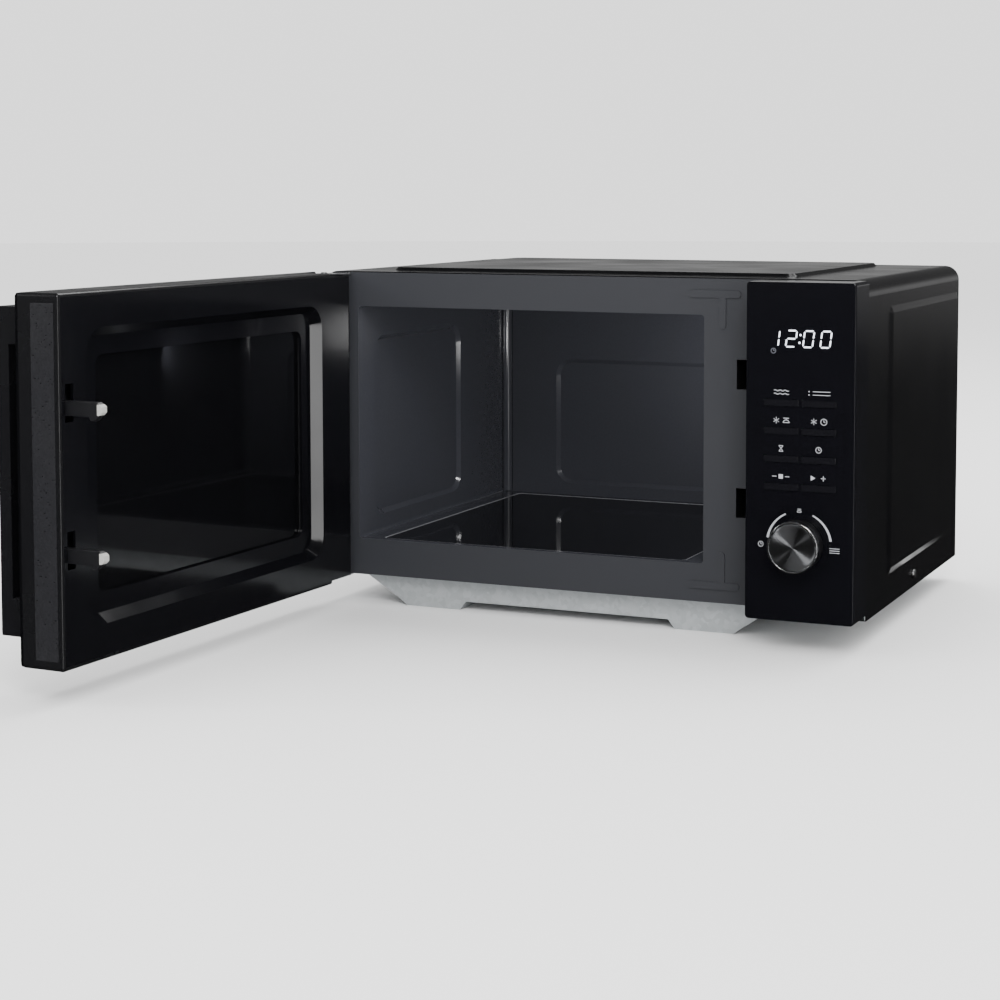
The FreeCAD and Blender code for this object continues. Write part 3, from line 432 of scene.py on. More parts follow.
def stroke(path: Outline, start: float, end: float | None = None) -> Outline:
    """The outline of a line drawn along a path, such as a printed mark.

    Args:
        path: The line's middle.
        start: Its width at the start.
        end: Its width at the end, if that differs.

    Returns:
        The outline's corners.
    """
    end = start if end is None else end
    left, right = [], []
    last = len(path) - 1
    for index, (a, b) in enumerate(path):
        before, after = path[max(index - 1, 0)], path[min(index + 1, last)]
        along = Vector((after[0] - before[0], after[1] - before[1])).normalized()
        half = (start + (end - start) * index / last) / 2
        left.append((a - along.y * half, b + along.x * half))
        right.append((a + along.y * half, b - along.x * half))
    return left + right[::-1]


def frame_corners(x0: float, x1: float, z0: float, z1: float, radius: float, steps: int = 8) -> Outline:
    """A rectangle with round corners.

    Args:
        x0: Its left side.
        x1: Its right side.
        z0: Its bottom.
        z1: Its top.
        radius: Radius of the corners.
        steps: Straight stretches in each corner.

    Returns:
        The outline's corners.
    """
    centres = [(x1 - radius, z1 - radius), (x0 + radius, z1 - radius),
               (x0 + radius, z0 + radius), (x1 - radius, z0 + radius)]
    corners: Outline = []
    for index, centre in enumerate(centres):
        corners += arc(centre, radius, 90 * index, 90 * index + 90, steps)
    return corners


def round_edges(piece: Piece, width: float, steps: int = 2) -> Piece:
    """Round a piece's sharp edges so that they catch the light.

    Args:
        piece: A piece with clean faces.
        width: Width of the rounding, in millimetres.
        steps: Facets across it.

    Returns:
        The same piece.
    """
    bevel = piece.modifiers.new("rounded edges", "BEVEL")
    bevel.width = width * MM
    bevel.segments = steps
    bevel.limit_method = "ANGLE"
    bevel.angle_limit = math.radians(35)
    smooth(piece)
    return piece


def smooth(piece: Piece) -> Piece:
    """Shade a piece smoothly, with its flat faces kept flat."""
    piece.data.polygons.foreach_set("use_smooth", [True] * len(piece.data.polygons))
    flats = piece.modifiers.new("flat faces stay flat", "WEIGHTED_NORMAL")
    flats.keep_sharp = True
    return piece


def dress(node: str, finish: Finish, rounding: float = 0.0) -> None:
    """Give a CAD node its finish, and break its sharp edges.

    Args:
        node: The node's name.
        finish: What it is made of.
        rounding: Width of the broken edges, in millimetres; none leaves the node as it is.
    """
    piece = frame["nodes"][node]
    piece.data.materials.clear()
    piece.data.materials.append(finish.material())
    if rounding:
        weld = piece.modifiers.new("one skin", "WELD")
        weld.merge_threshold = 1e-6
        flat = piece.modifiers.new("whole faces", "DECIMATE")
        flat.decimate_type = "DISSOLVE"
        flat.angle_limit = math.radians(1)
        round_edges(piece, rounding)


def box_mm(node: str) -> tuple[Vector, Vector]:
    """A CAD node's lowest and highest corners, in millimetres."""
    low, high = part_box(node)
    return low / MM, high / MM


def middle_mm(node: str) -> Pair:
    """A CAD node's middle, as x and z in millimetres."""
    low, high = box_mm(node)
    return (low.x + high.x) / 2, (low.z + high.z) / 2


# ---------------------------------------------------------------- finishes
# Powder coat over steel: deep black with a soft orange peel that breaks long reflections.
COVER_PAINT = Finish("gloss black powder-coated steel", "050506", "09090b", Surface.SPRAYED,
                     2.2, 0.006, (0.14, 0.08), "cover_enamel")
# Enamel fired on steel: an even slate grey with a low satin shine.
FRONT_ENAMEL = Finish("slate grey enamelled steel", "303135", "35363a", Surface.SPRAYED,
                      1.4, 0.008, (0.3, 0.1), "front_enamel")
# The cavity's enamel is glossier than the front's, so corners show bright lines.
CAVITY_ENAMEL = Finish("easy-clean grey enamel", "37383d", "3e3f45", Surface.SPRAYED,
                       1.8, 0.002, (0.12, 0.06), "cavity_enamel")
# Zinc leaves flat crystals, each a slightly different grey. Its chalky skin hides most of the metal.
ZINC = Finish("galvanised steel", "a4a8aa", "b3b7b9", Surface.SPANGLED,
              4.0, 0.002, (0.42, 0.12), "galvanised_steel", metallic=0.25)
# Glass-ceramic is black all through and polished like a mirror.
GLASS_CERAMIC = Finish("black glass-ceramic", "060607", "0b0b0d", Surface.POLISHED,
                       9.0, 0.001, (0.04, 0.05), "black_glass_ceramic", ior=1.52)
# Silicone rubber is matt and draws dust.
SILICONE = Finish("grey silicone rubber", "77787a", "84858a", Surface.MOULDED,
                  0.8, 0.02, (0.55, 0.15), "seal_silicone", ior=1.43)
# Nickel plate: bright, with a slightly warm grey.
BRIGHT_STEEL = Finish("nickel-plated steel", "b9b9bb", "cbcbcc", Surface.POLISHED,
                      3.0, 0.002, (0.16, 0.1), "bright_steel", metallic=1.0)
# Plain sheet inside the works keeps its rolling lines.
WORKS_STEEL = Finish("bare rolled steel", "8b8d90", "a2a4a7", Surface.ROLLED,
                     0.8, 0.004, (0.3, 0.15), "steel_works", metallic=1.0)
# Mill-finish sheet is bright and streaky along its length.
FIN_METAL = Finish("mill-finish aluminium", "c3c5c8", "d4d6d9", Surface.ROLLED,
                   0.7, 0.003, (0.25, 0.12), "fin_aluminium", metallic=1.0)
# Varnished transformer sheets show as fine dark stripes, drawn a little coarse so that they show.
CORE = Finish("varnished transformer iron", "26211d", "4a423b", Surface.LAMINATED,
              1.2, 0.05, (0.35, 0.15), "core_steel", metallic=0.6)
COPPER = Finish("enamelled copper wire", "7d3b1c", "b8683a", Surface.WOUND,
                1.0, 0.12, (0.25, 0.12), "winding_copper", metallic=1.0)
# Natural nylon is creamy and lets a little light in, so it looks soft.
NYLON = Finish("natural nylon", "d9d6c8", "cfccbe", Surface.MOULDED,
               1.0, 0.02, (0.4, 0.15), "works_plastic", ior=1.53)
# Glass-filled nylon is a dull black with a dry grain.
SWITCH_PLASTIC = Finish("black glass-filled nylon", "141416", "202022", Surface.MOULDED,
                        0.7, 0.02, (0.4, 0.15), "switch_plastic", ior=1.53)
# Lacquered laminate shows its tracks as paler green lines.
BOARD = Finish("green circuit board", "0f3b22", "1c5a36", Surface.PRINTED,
               3.2, 0.03, (0.3, 0.15), "circuit_board")
# Thin clear glass: mostly a small hard highlight.
LAMP_GLASS = Finish("clear lamp glass", "f4efe2", "fbf8f0", Surface.POLISHED,
                    6.0, 0.001, (0.04, 0.03), "lamp_glass", ior=1.46, alpha=0.45)
# Piano black: an acrylic skin over ABS, nearly a mirror.
PANEL_BLACK = Finish("piano black acrylic", "09090c", "0c0c10", Surface.POLISHED,
                     14.0, 0.002, (0.07, 0.05), "panel_plastic", ior=1.49)
# The keys match the panel, and only their edges show.
KEY_BLACK = Finish("gloss black ABS", "0d0d10", "111115", Surface.POLISHED,
                   5.0, 0.002, (0.14, 0.06), "key_plastic", ior=1.53)
# The side of the knob is a shade duller than the panel.
KNOB_BLACK = Finish("satin black ABS", "0b0b0d", "121214", Surface.MOULDED,
                    0.6, 0.01, (0.3, 0.1), "knob_plastic", ior=1.53)
# Chrome plate draws a hard bright line round the knob.
CHROME = Finish("chromed ring", "d7d8da", "e2e3e5", Surface.POLISHED,
                4.0, 0.001, (0.18, 0.05), "spun_aluminium", metallic=1.0)
# Pad-printed ink: pale grey, thin and a little uneven.
INK = Finish("pale grey printing ink", "a4a6ab", "b6b8bd", Surface.MOULDED,
             0.5, 0.004, (0.45, 0.1), "panel_plastic")
# The segments glow a cold white.
DIGIT_LIGHT = Finish("lit display segments", "e8eef8", "f2f6ff", Surface.POLISHED,
                     3.0, 0.001, (0.4, 0.05), "panel_plastic", glow=1.1)
# The mark under the digits is lit far more weakly.
ICON_LIGHT = Finish("dim display mark", "50525a", "62646c", Surface.POLISHED,
                    3.0, 0.001, (0.4, 0.05), "panel_plastic", glow=0.25)
# The door's frame comes from a spark-eroded mould: a fine pebble that spreads the light.
DOOR_BLACK = Finish("spark-grained black ABS", "0b0b0d", "141416", Surface.MOULDED,
                    1.1, 0.02, (0.2, 0.1), "door_plastic", ior=1.53)
# The grip strip is grained coarser and rougher than the rest of the frame, and its colour is painted paler than
# the frame's: a painted sheen for the light that the coarse grain scatters.
STRIP_BLACK_PAINTED_SHEEN = Finish("coarse-grained black ABS with painted sheen", "17171a", "232327", Surface.MOULDED,
                     1.5, 0.05, (0.36, 0.14), "door_plastic", ior=1.53)
# Unpainted polypropylene, glossy enough to mirror the room in long strips.
CHOKE_BLACK = Finish("gloss black polypropylene", "08080a", "0b0b0e", Surface.POLISHED,
                     11.0, 0.003, (0.1, 0.06), "choke_cover_plastic", ior=1.49)
# Enamel on the screen is matt, so the holes read as a soft grey haze.
SCREEN_PAINT = Finish("black enamelled screen steel", "1c1d20", "232428", Surface.SPRAYED,
                      1.0, 0.004, (0.6, 0.1), "black_steel")
# The film over the screen is dark and mirrors the cavity.
FILM = Finish("smoked polyester film", "060607", "09090b", Surface.POLISHED,
              20.0, 0.002, (0.03, 0.03), "window_film", ior=1.57, alpha=0.94)
# The handle is satin, so its edges glow a little and its faces stay black.
HANDLE_BLACK = Finish("satin black handle ABS", "0d0d0f", "131316", Surface.MOULDED,
                      0.9, 0.015, (0.22, 0.1), "handle_plastic", ior=1.53)
# Acetal looks waxy and slightly grey.
LATCH_BLACK = Finish("black acetal", "131315", "19191c", Surface.MOULDED,
                     0.8, 0.01, (0.3, 0.1), "latch_plastic", ior=1.48)
# The hook tips are painted pale: a painted highlight, standing in for the light that their glossy slanted faces
# catch.
LATCH_TIP_PAINTED_HIGHLIGHT = Finish("acetal painted pale as a highlight", "9a9a96", "a5a5a1", Surface.MOULDED,
                     0.8, 0.01, (0.3, 0.1), "latch_plastic", ior=1.48)


# ---------------------------------------------------------------- studio
@dataclass
class Softbox:
    """A square or long soft light, aimed at a point, in metres.

    Args:
        name: Its name.
        place: Where it stands.
        aim: The point it looks at.
        size: Its width and height.
        power: Its power in watts.
    """

    name: str
    place: Point
    aim: Point
    size: Pair
    power: float

    def build(self) -> Piece:
        """Hang the light.

        Returns:
            The light's object.
        """
        data = bpy.data.lights.new(self.name, "AREA")
        data.shape = "RECTANGLE"
        data.size, data.size_y = self.size
        data.energy = self.power
        light = bpy.data.objects.new(self.name, data)
        light.location = self.place
        light.visible_camera = False
        light.rotation_euler = (Vector(self.aim) - Vector(self.place)).to_track_quat("-Z", "Y").to_euler()
        bpy.context.scene.collection.objects.link(light)
        return light


@dataclass
class Studio:
    """The pale floor, the soft lights and the camera. Distances are in metres.

    The oven's glossy sides don't see the floor, so the tall strip may reach below it and the low
    kicker stands under it. The cavity light hangs in the oven, in front of the lamp's own place.
    """

    floor_radius: float = 12.0
    floor_colour: str = "f4f4f4"
    sky: float = 1.8
    band_rise: Pair = (-0.08, 0.01)
    band_fall: Pair = (0.06, 0.15)
    below: float = 0.025
    band: float = 0.42
    above: float = 0.09
    front_share: float = 0.3
    front_to_back: Pair = (-0.4, 0.3)
    camera_place: Point = (0.65641, -1.75721, 0.36504)
    camera_turn: Pair = (86.0, 23.361)
    lens: float = 75.18
    shift: Pair = (-0.046, -0.168)
    lights: list[Softbox] = field(default_factory=lambda: [
        Softbox("overhead", (0.1, 1.1, 2.4), (0.0, 0.0, 0.1), (2.2, 1.6), 55.0),
        Softbox("key", (0.86, -1.8, 1.43), (0.05, -0.1, 0.15), (0.8, 0.8), 26.0),
        Softbox("tall strip", (1.57, -2.0, 0.1), (-0.2, -0.2, 0.17), (0.3, 2.2), 12.0),
        Softbox("left strip", (-2.1, -1.4, 1.2), (0.1, -0.2, 0.12), (0.3, 0.6), 10.0),
        Softbox("cavity light", (0.1, 0.0, 0.2), (-0.035, 0.145, 0.19), (0.04, 0.04), 0.45),
        Softbox("low kicker", (0.25, 0.85, -0.2), (0.245, 0.05, 0.06), (0.12, 0.05), 0.04),
    ])

    def build_floor(self) -> None:
        """Lay the floor: pale to the eye, and unseen in the oven's glossy sides."""
        steps = 64
        ring = arc((0, 0), self.floor_radius, 0, 360 - 360 / steps, steps - 1)
        mesh = bpy.data.meshes.new("studio_floor")
        mesh.from_pydata([(x, y, 0.0) for x, y in ring], [], [list(range(steps))])
        floor = bpy.data.objects.new("studio_floor", mesh)
        bpy.context.scene.collection.objects.link(floor)
        paper = bpy.data.materials.new("matt paper sweep")
        paper.use_nodes = True
        tree = paper.node_tree
        tree.nodes.clear()
        rays = add_node(tree, "ShaderNodeLightPath")
        matt = add_node(tree, "ShaderNodeBsdfDiffuse", {"Color": srgb(self.floor_colour)})
        clear = add_node(tree, "ShaderNodeBsdfTransparent")
        shader = add_node(tree, "ShaderNodeMixShader", {
            0: rays.outputs["Is Glossy Ray"], 1: matt.outputs[0], 2: clear.outputs[0]})
        add_node(tree, "ShaderNodeOutputMaterial", {"Surface": shader.outputs[0]})
        mesh.materials.append(paper)

    def build_sky(self) -> None:
        """Light the room evenly; mirrors see a dim room, brighter behind, with a band near the floor."""
        world = bpy.data.worlds.new("studio_room")
        bpy.context.scene.world = world
        world.use_nodes = True
        tree = world.node_tree
        tree.nodes.clear()
        look = add_node(tree, "ShaderNodeTexCoord").outputs["Generated"]
        compass = add_node(tree, "ShaderNodeSeparateXYZ", {"Vector": look})
        height = compass.outputs["Z"]
        above = add_node(tree, "ShaderNodeMapRange", {
            "Value": height, "From Min": self.band_fall[0], "From Max": self.band_fall[1],
            "To Min": self.band, "To Max": self.above})
        below = add_node(tree, "ShaderNodeMapRange", {
            "Value": height, "From Min": self.band_rise[0], "From Max": self.band_rise[1],
            "To Min": self.below, "To Max": self.band})
        level = add_node(tree, "ShaderNodeMath", {0: above.outputs[0], 1: below.outputs[0]},
                         operation="MINIMUM")
        back = add_node(tree, "ShaderNodeMapRange", {
            "Value": compass.outputs["Y"], "From Min": self.front_to_back[0],
            "From Max": self.front_to_back[1], "To Min": self.front_share, "To Max": 1.0})
        room = add_node(tree, "ShaderNodeMath", {0: level.outputs[0], 1: back.outputs[0]},
                        operation="MULTIPLY")
        rays = add_node(tree, "ShaderNodeLightPath")
        strength = add_node(tree, "ShaderNodeMix", {
            0: rays.outputs["Is Glossy Ray"], 2: self.sky, 3: room.outputs[0]})
        light = add_node(tree, "ShaderNodeBackground", {
            "Color": srgb("ffffff"), "Strength": strength.outputs[0]})
        add_node(tree, "ShaderNodeOutputWorld", {"Surface": light.outputs[0]})

    def build_camera(self) -> None:
        """Stand the camera in front of the oven, to the right of its middle."""
        data = bpy.data.cameras.new("studio_camera")
        data.lens = self.lens
        data.sensor_width = 36.0
        data.shift_x, data.shift_y = self.shift
        camera = bpy.data.objects.new("studio_camera", data)
        camera.location = self.camera_place
        tilt, turn = self.camera_turn
        camera.rotation_euler = (math.radians(tilt), 0.0, math.radians(turn))
        bpy.context.scene.collection.objects.link(camera)
        bpy.context.scene.camera = camera

    def build(self) -> None:
        """Build the whole studio."""
        self.build_camera()
        self.build_floor()
        self.build_sky()
        for light in self.lights:
            light.build()


# ---------------------------------------------------------------- cabinet
@dataclass
class Cabinet:
    """The cover, front plate, cavity, base and back, with the screws that hold the cover."""

    head_radius: float = 3.8
    head_height: float = 2.1
    recess_reach: float = 2.3
    recess_width: float = 0.9
    recess_depth: float = 1.2
    recess_taper: float = 0.7
    recess_rim: float = 0.05
    head_dome: tuple[Pair, ...] = ((0.65, 0.97), (0.85, 0.8), (1.0, 0.4), (1.0, 0.0))
    corner_radius: float = 7.0
    clear: float = 0.25
    body: str = "cabinet"

    def build_cover(self) -> None:
        """Dress the cover and the plates behind it."""
        dress("outer_cover", COVER_PAINT)
        dress("rear_panel", ZINC)
        dress("base_plate", ZINC, 1.2)
        dress("rear_spacers", SWITCH_PLASTIC)
        dress("cord_gland", SWITCH_PLASTIC)

    def build_cavity(self) -> None:
        """Dress the oven itself."""
        dress("cavity_front_plate", FRONT_ENAMEL)
        dress("cavity_liner", CAVITY_ENAMEL)
        dress("ceramic_floor_plate", GLASS_CERAMIC, 0.6)
        dress("floor_seal", SILICONE)

    def build_corners(self) -> None:
        """Round the cavity's two upright back corners, where long bright lines run."""
        low, high = (Vector(corner) / MM for corner in self.opening_box("oven_cavity"))
        low -= Vector((self.clear, self.clear, 0.0))
        high += Vector((self.clear, self.clear, 0.0))
        r = self.corner_radius
        for name, x, side in (("left", low.x, 1), ("right", high.x, -1)):
            curve = arc((x + side * r, high.y - r), r, 90, 180 if side > 0 else 0, 10)
            curve.append((x, high.y))
            smooth(shape(f"cavity_corner_{name}", *prism(curve, low.z, high.z, "xy"),
                         CAVITY_ENAMEL, self.body))

    def opening_box(self, name: str) -> tuple[Point, Point]:
        """A stated opening's corners, in metres."""
        openings = frame["record"]["physics"]["openings"]
        return next(o["box_m"] for o in openings if o["name"] == name)

    def build_hinges(self) -> None:
        """Dress the hinge angles, which are plated where the door's pins turn."""
        dress("hinge_bracket_lower", BRIGHT_STEEL, 0.3)
        dress("hinge_bracket_upper", BRIGHT_STEEL, 0.3)

    def screw_head(self, side: float, face: float, place: Pair) -> Mesh:
        """A pan head with a cross recess, on one side of the cabinet.

        Args:
            side: Minus one for the left side, one for the right.
            face: x of the cabinet's side.
            place: y and z of the screw.

        Returns:
            Points and faces.
        """
        r, h = self.head_radius, self.head_height
        steps = 48
        points: list[Point] = []
        rows = [(out * r, h * up) for out, up in self.head_dome]
        cross = []
        for step in range(steps):
            turn = 2 * math.pi * step / steps
            across = max(min(abs(math.cos(turn)), abs(math.sin(turn))), 1e-3)
            cross.append(min(self.recess_reach, self.recess_width / 2 / across))
        rings = [[(reach * self.recess_taper, h - self.recess_depth) for reach in cross],
                 [(reach, h) for reach in cross]]
        rings += [[(max(radius, reach + self.recess_rim), height) for reach in cross]
                  for radius, height in rows]
        for ring in rings:
            for step, (radius, height) in enumerate(ring):
                turn = 2 * math.pi * step / steps
                points.append((face + side * height, place[0] + radius * math.cos(turn),
                               place[1] + radius * math.sin(turn)))
        faces = [list(range(steps)), list(range((len(rings) - 1) * steps, len(rings) * steps))]
        for row in range(len(rings) - 1):
            faces += band(row * steps, (row + 1) * steps, steps)
        return points, faces

    def build_screws(self) -> None:
        """Build both cover screws where the CAD has them."""
        low, high = box_mm("cover_screws")
        middle = (low + high) / 2
        faces = [(-1.0, low.x + self.head_height), (1.0, high.x - self.head_height)]
        heads = [self.screw_head(side, face, (middle.y, middle.z)) for side, face in faces]
        points, sides = joined(heads)
        smooth(shape("cover_screws_cross_head", points, sides, BRIGHT_STEEL, self.body, ("cover_screws",)))

    def build(self) -> None:
        """Build the whole cabinet."""
        self.build_cover()
        self.build_cavity()
        self.build_corners()
        self.build_hinges()
        self.build_screws()


@dataclass
class Works:
    """What stands in the bay beside the oven and under its floor."""

    finishes: dict[str, Finish] = field(default_factory=lambda: {
        "waveguide": ZINC, "magnetron": WORKS_STEEL, "magnetron_fins": FIN_METAL,
        "transformer_core": CORE, "transformer_windings": COPPER,
        "high_voltage_capacitor": FIN_METAL, "capacitor_clamp": WORKS_STEEL,
        "high_voltage_diode": SWITCH_PLASTIC, "fan_shroud": SWITCH_PLASTIC, "fan_motor": CORE,
        "fan_blade": NYLON, "stirrer_antenna": FIN_METAL, "stirrer_motor": WORKS_STEEL,
        "lamp_holder": ZINC, "cavity_lamp": LAMP_GLASS, "latch_board": SWITCH_PLASTIC,
        "interlock_switches": SWITCH_PLASTIC, "interlock_plunger_upper": NYLON,
        "interlock_plunger_lower": NYLON, "noise_filter_board": BOARD,
        "thermal_cutouts": BRIGHT_STEEL, "display_module": SWITCH_PLASTIC,
        "control_board": BOARD, "tact_switches": SWITCH_PLASTIC, "rotary_encoder": WORKS_STEEL})

    def build(self) -> None:
        """Dress each part of the works."""
        for node, finish in self.finishes.items():
            dress(node, finish)
            LOG.info("dressed %s as %s", node, finish.name)


# ---------------------------------------------------------------- control panel
class Segment(Enum):
    """The bars of a seven-segment digit, as ends in half-widths and half-heights."""

    TOP = ((-1, 1), (1, 1))
    TOP_LEFT = ((-1, 0), (-1, 1))
    TOP_RIGHT = ((1, 0), (1, 1))
    MIDDLE = ((-1, 0), (1, 0))
    LOW_LEFT = ((-1, -1), (-1, 0))
    LOW_RIGHT = ((1, -1), (1, 0))
    BOTTOM = ((-1, -1), (1, -1))


@dataclass
class Display:
    """The clock behind its smoked window: four slanted digits and a small mark."""

    digits: str = "1200"
    pitch: float = 13.8
    width: float = 7.6
    height: float = 12.6
    bar: float = 1.15
    gap: float = 0.5
    slant: float = 0.13
    dot: float = 1.7
    lift: float = 0.08
    sink: float = 0.05
    shift: float = 0.5
    colon: float = 3.0
    mark: float = 1.9
    mark_line: float = 0.5
    mark_drop: float = 3.4
    mark_shift: float = 0.6
    mark_hands: Pair = (1.0, 1.3)
    bars: dict[str, list[Segment]] = field(default_factory=lambda: {
        "0": [bar for bar in Segment if bar is not Segment.MIDDLE],
        "1": [Segment.TOP_RIGHT, Segment.LOW_RIGHT],
        "2": [Segment.TOP, Segment.TOP_RIGHT, Segment.MIDDLE, Segment.LOW_LEFT, Segment.BOTTOM]})

    def bar_outline(self, segment: Segment, x: float, z: float) -> Outline:
        """One bar with pointed ends, slanted with the rest.

        Args:
            segment: Which bar of the digit.
            x: The digit's middle.
            z: The digit's middle.

        Returns:
            The bar's outline.
        """
        ends = [Vector((a * self.width / 2, b * self.height / 2)) for a, b in segment.value]
        along = (ends[1] - ends[0]).normalized()
        across = Vector((-along.y, along.x)) * self.bar / 2
        start, end = ends[0] + along * self.gap, ends[1] - along * self.gap
        shoulder = along * self.bar / 2
        corners = [start, start + shoulder + across, end - shoulder + across, end,
                   end - shoulder - across, start + shoulder - across]
        return [(x + c.x + self.slant * c.y, z + c.y) for c in corners]

    def build(self) -> None:
        """Build the lit digits, the colon and the mark under the first digit."""
        dress("display_window", PANEL_BLACK)
        face = box_mm("display_window")[0].y
        x, z = middle_mm("display_window")
        x -= self.shift
        outlines = []
        for index, digit in enumerate(self.digits):
            middle = x + (index - 1.5) * self.pitch
            outlines += [self.bar_outline(segment, middle, z) for segment in self.bars[digit]]
        for rise in (-self.colon, self.colon):
            centre = (x + self.slant * rise, z + rise)
            outlines.append(arc(centre, self.dot / 2, 0, 345, 23))
        self.light("display_digits", outlines, face, DIGIT_LIGHT)
        a, b = x - 1.5 * self.pitch - self.mark_shift, z - self.height / 2 - self.mark_drop
        short, long = self.mark_hands
        paths = [arc((a, b), self.mark, 0, 360, 24), [(a, b), (a, b + long)], [(a, b), (a + short, b)]]
        mark = [stroke(path, self.mark_line) for path in paths]
        self.light("display_clock_mark", mark, face, ICON_LIGHT)

    def light(self, name: str, outlines: list[Outline], face: float, finish: Finish) -> None:
        """Raise lit outlines a little over the window.

        Args:
            name: The piece's name.
            outlines: What is lit.
            face: y of the window's face.
            finish: How brightly it glows.
        """
        parts = [prism(outline, face - self.lift, face + self.sink) for outline in outlines]
        shape(name, *joined(parts), finish, "cabinet")


class Icon(Enum):
    """The printed signs, one for each key and each end of the knob's scale."""

    WAVES = "two waves, for power"
    LIST = "dots and lines, for the menu"
    FROST_WEIGHT = "a snow star beside a scale pan"
    FROST_TIME = "a snow star beside a clock"
    HOURGLASS = "an hourglass, for the timer"
    CLOCK = "a clock face"
    STOP = "a square"
    START = "a triangle and a plus"
    SCALE = "a scale pan"


@dataclass
class Printing:
    """Signs and arcs printed on the panel's face. Every line is a real film of ink."""

    line: float = 0.45
    film: float = 0.05
    sink: float = 0.03
    key_rise: float = 8.3
    rows: tuple[tuple[str, Icon], ...] = (
        ("key_power", Icon.WAVES), ("key_menu", Icon.LIST),
        ("key_defrost_weight", Icon.FROST_WEIGHT), ("key_defrost_time", Icon.FROST_TIME),
        ("key_timer", Icon.HOURGLASS), ("key_clock", Icon.CLOCK),
        ("key_stop", Icon.STOP), ("key_start", Icon.START))
    arc_radius: float = 25.7
    arc_widths: Pair = (1.1, 1.9)
    arc_ends: tuple[Pair, ...] = ((115.0, 171.0), (65.0, 9.0))
    weight_rise: float = 26.5
    time_place: Pair = (-31.0, -1.5)
    time_radius: float = 2.0
    menu_span: Pair = (24.5, 32.5)
    menu_drop: float = 3.2
    menu_pitch: float = 1.7

    def bars(self, *ends: tuple[float, float, float, float]) -> list[Outline]:
        """Straight lines, each from x and z to x and z."""
        return [stroke([(x0, z0), (x1, z1)], self.line) for x0, z0, x1, z1 in ends]

    def star(self, x: float, z: float, reach: float) -> list[Outline]:
        """A six-armed snow star."""
        arms = []
        for turn in range(3):
            t = math.radians(90 + 60 * turn)
            dx, dz = reach * math.cos(t), reach * math.sin(t)
            arms.append(stroke([(x - dx, z - dz), (x + dx, z + dz)], self.line * 0.8))
        return arms

    def clock(self, x: float, z: float, reach: float) -> list[Outline]:
        """A clock face with two hands."""
        face = stroke(arc((x, z), reach, 0, 360, 28), self.line)
        return [face] + self.bars((x, z, x, z + reach * 0.65), (x, z, x + reach * 0.5, z))

    def pan(self, x: float, z: float, reach: float) -> list[Outline]:
        """A kitchen scale: a pan on a stand with a dial."""
        rim, neck, foot, half = z + reach * 0.8, z + reach * 0.2, z - reach * 0.7, reach * 1.1
        dial = stroke(arc((x, z - reach * 0.9), half, 15, 165, 16), self.line)
        stand = self.bars((x - reach, rim, x + reach, rim), (x, rim, x, neck))
        return stand + [dial] + self.bars((x - half, foot, x + half, foot))

    def outlines(self, icon: Icon, x: float, z: float) -> list[Outline]:
        """The lines of one sign.

        Args:
            icon: Which sign.
            x: Its middle.
            z: Its middle.

        Returns:
            An outline for each line.
        """
        if icon is Icon.WAVES:
            return [stroke([(x - 6 + 12 * step / 24, z + rise + 0.55 * math.sin(step * math.pi / 4))
                            for step in range(25)], self.line) for rise in (-1.3, 1.3)]
        if icon is Icon.LIST:
            lines = self.bars((x - 5, z - 1.3, x + 9, z - 1.3), (x - 5, z + 1.3, x + 9, z + 1.3))
            return lines + [arc((x - 8, z + rise), 0.5, 0, 330, 11) for rise in (-1.3, 1.3)]
        if icon is Icon.FROST_WEIGHT:
            return self.star(x - 4, z, 2.6) + self.pan(x + 4, z, 2.3)
        if icon is Icon.FROST_TIME:
            return self.star(x - 4, z, 2.6) + self.clock(x + 4, z, 2.4)
        if icon is Icon.HOURGLASS:
            left, right, foot, top = x - 1.7, x + 1.7, z - 2.2, z + 2.2
            return self.bars((left, foot, right, foot), (left, top, right, top),
                             (left, foot, right, top), (right, foot, left, top))
        if icon is Icon.CLOCK:
            return self.clock(x, z, 2.2)
        if icon is Icon.STOP:
            side = [(x - 1.7, z - 1.7), (x + 1.7, z - 1.7), (x + 1.7, z + 1.7), (x - 1.7, z + 1.7)]
            return [side] + self.bars((x - 7, z, x - 3.4, z), (x + 3.4, z, x + 7, z))
        if icon is Icon.START:
            arrow = [(x - 6.0, z - 2.0), (x - 2.4, z), (x - 6.0, z + 2.0)]
            return [arrow] + self.bars((x + 2, z, x + 6, z), (x + 4, z - 2, x + 4, z + 2))
        return self.pan(x, z, 1.6)

    def print_on(self, name: str, lines: list[Outline], face: float) -> None:
        """Lay a film of ink on the panel.

        Args:
            name: The piece's name.
            lines: Its outlines.
            face: y of the panel's face.
        """
        parts = [prism(line, face - self.film, face + self.sink) for line in lines]
        shape(name, *joined(parts), INK, "cabinet")

    def build(self) -> None:
        """Print the sign over each key, and the knob's two arcs with their signs."""
        face = box_mm("control_panel_frame")[0].y
        for key, icon in self.rows:
            x, z = middle_mm(key)
            self.print_on(f"sign_over_{key}", self.outlines(icon, x, z + self.key_rise), face)
        centre = middle_mm("knob_ring")
        arcs = [stroke(arc(centre, self.arc_radius, start, end, 40), *self.arc_widths)
                for start, end in self.arc_ends]
        self.print_on("knob_scale_arcs", arcs, face)
        x, z = centre
        scale = self.outlines(Icon.SCALE, x, z + self.weight_rise)
        self.print_on("knob_scale_weight_sign", scale, face)
        right, up = self.time_place
        self.print_on("knob_scale_time_sign", self.clock(x + right, z + up, self.time_radius), face)
        levels = [z - self.menu_drop + rise for rise in (-self.menu_pitch, 0.0, self.menu_pitch)]
        start, end = self.menu_span
        rows = self.bars(*[(x + start, level, x + end, level) for level in levels])
        self.print_on("knob_scale_menu_sign", rows, face)


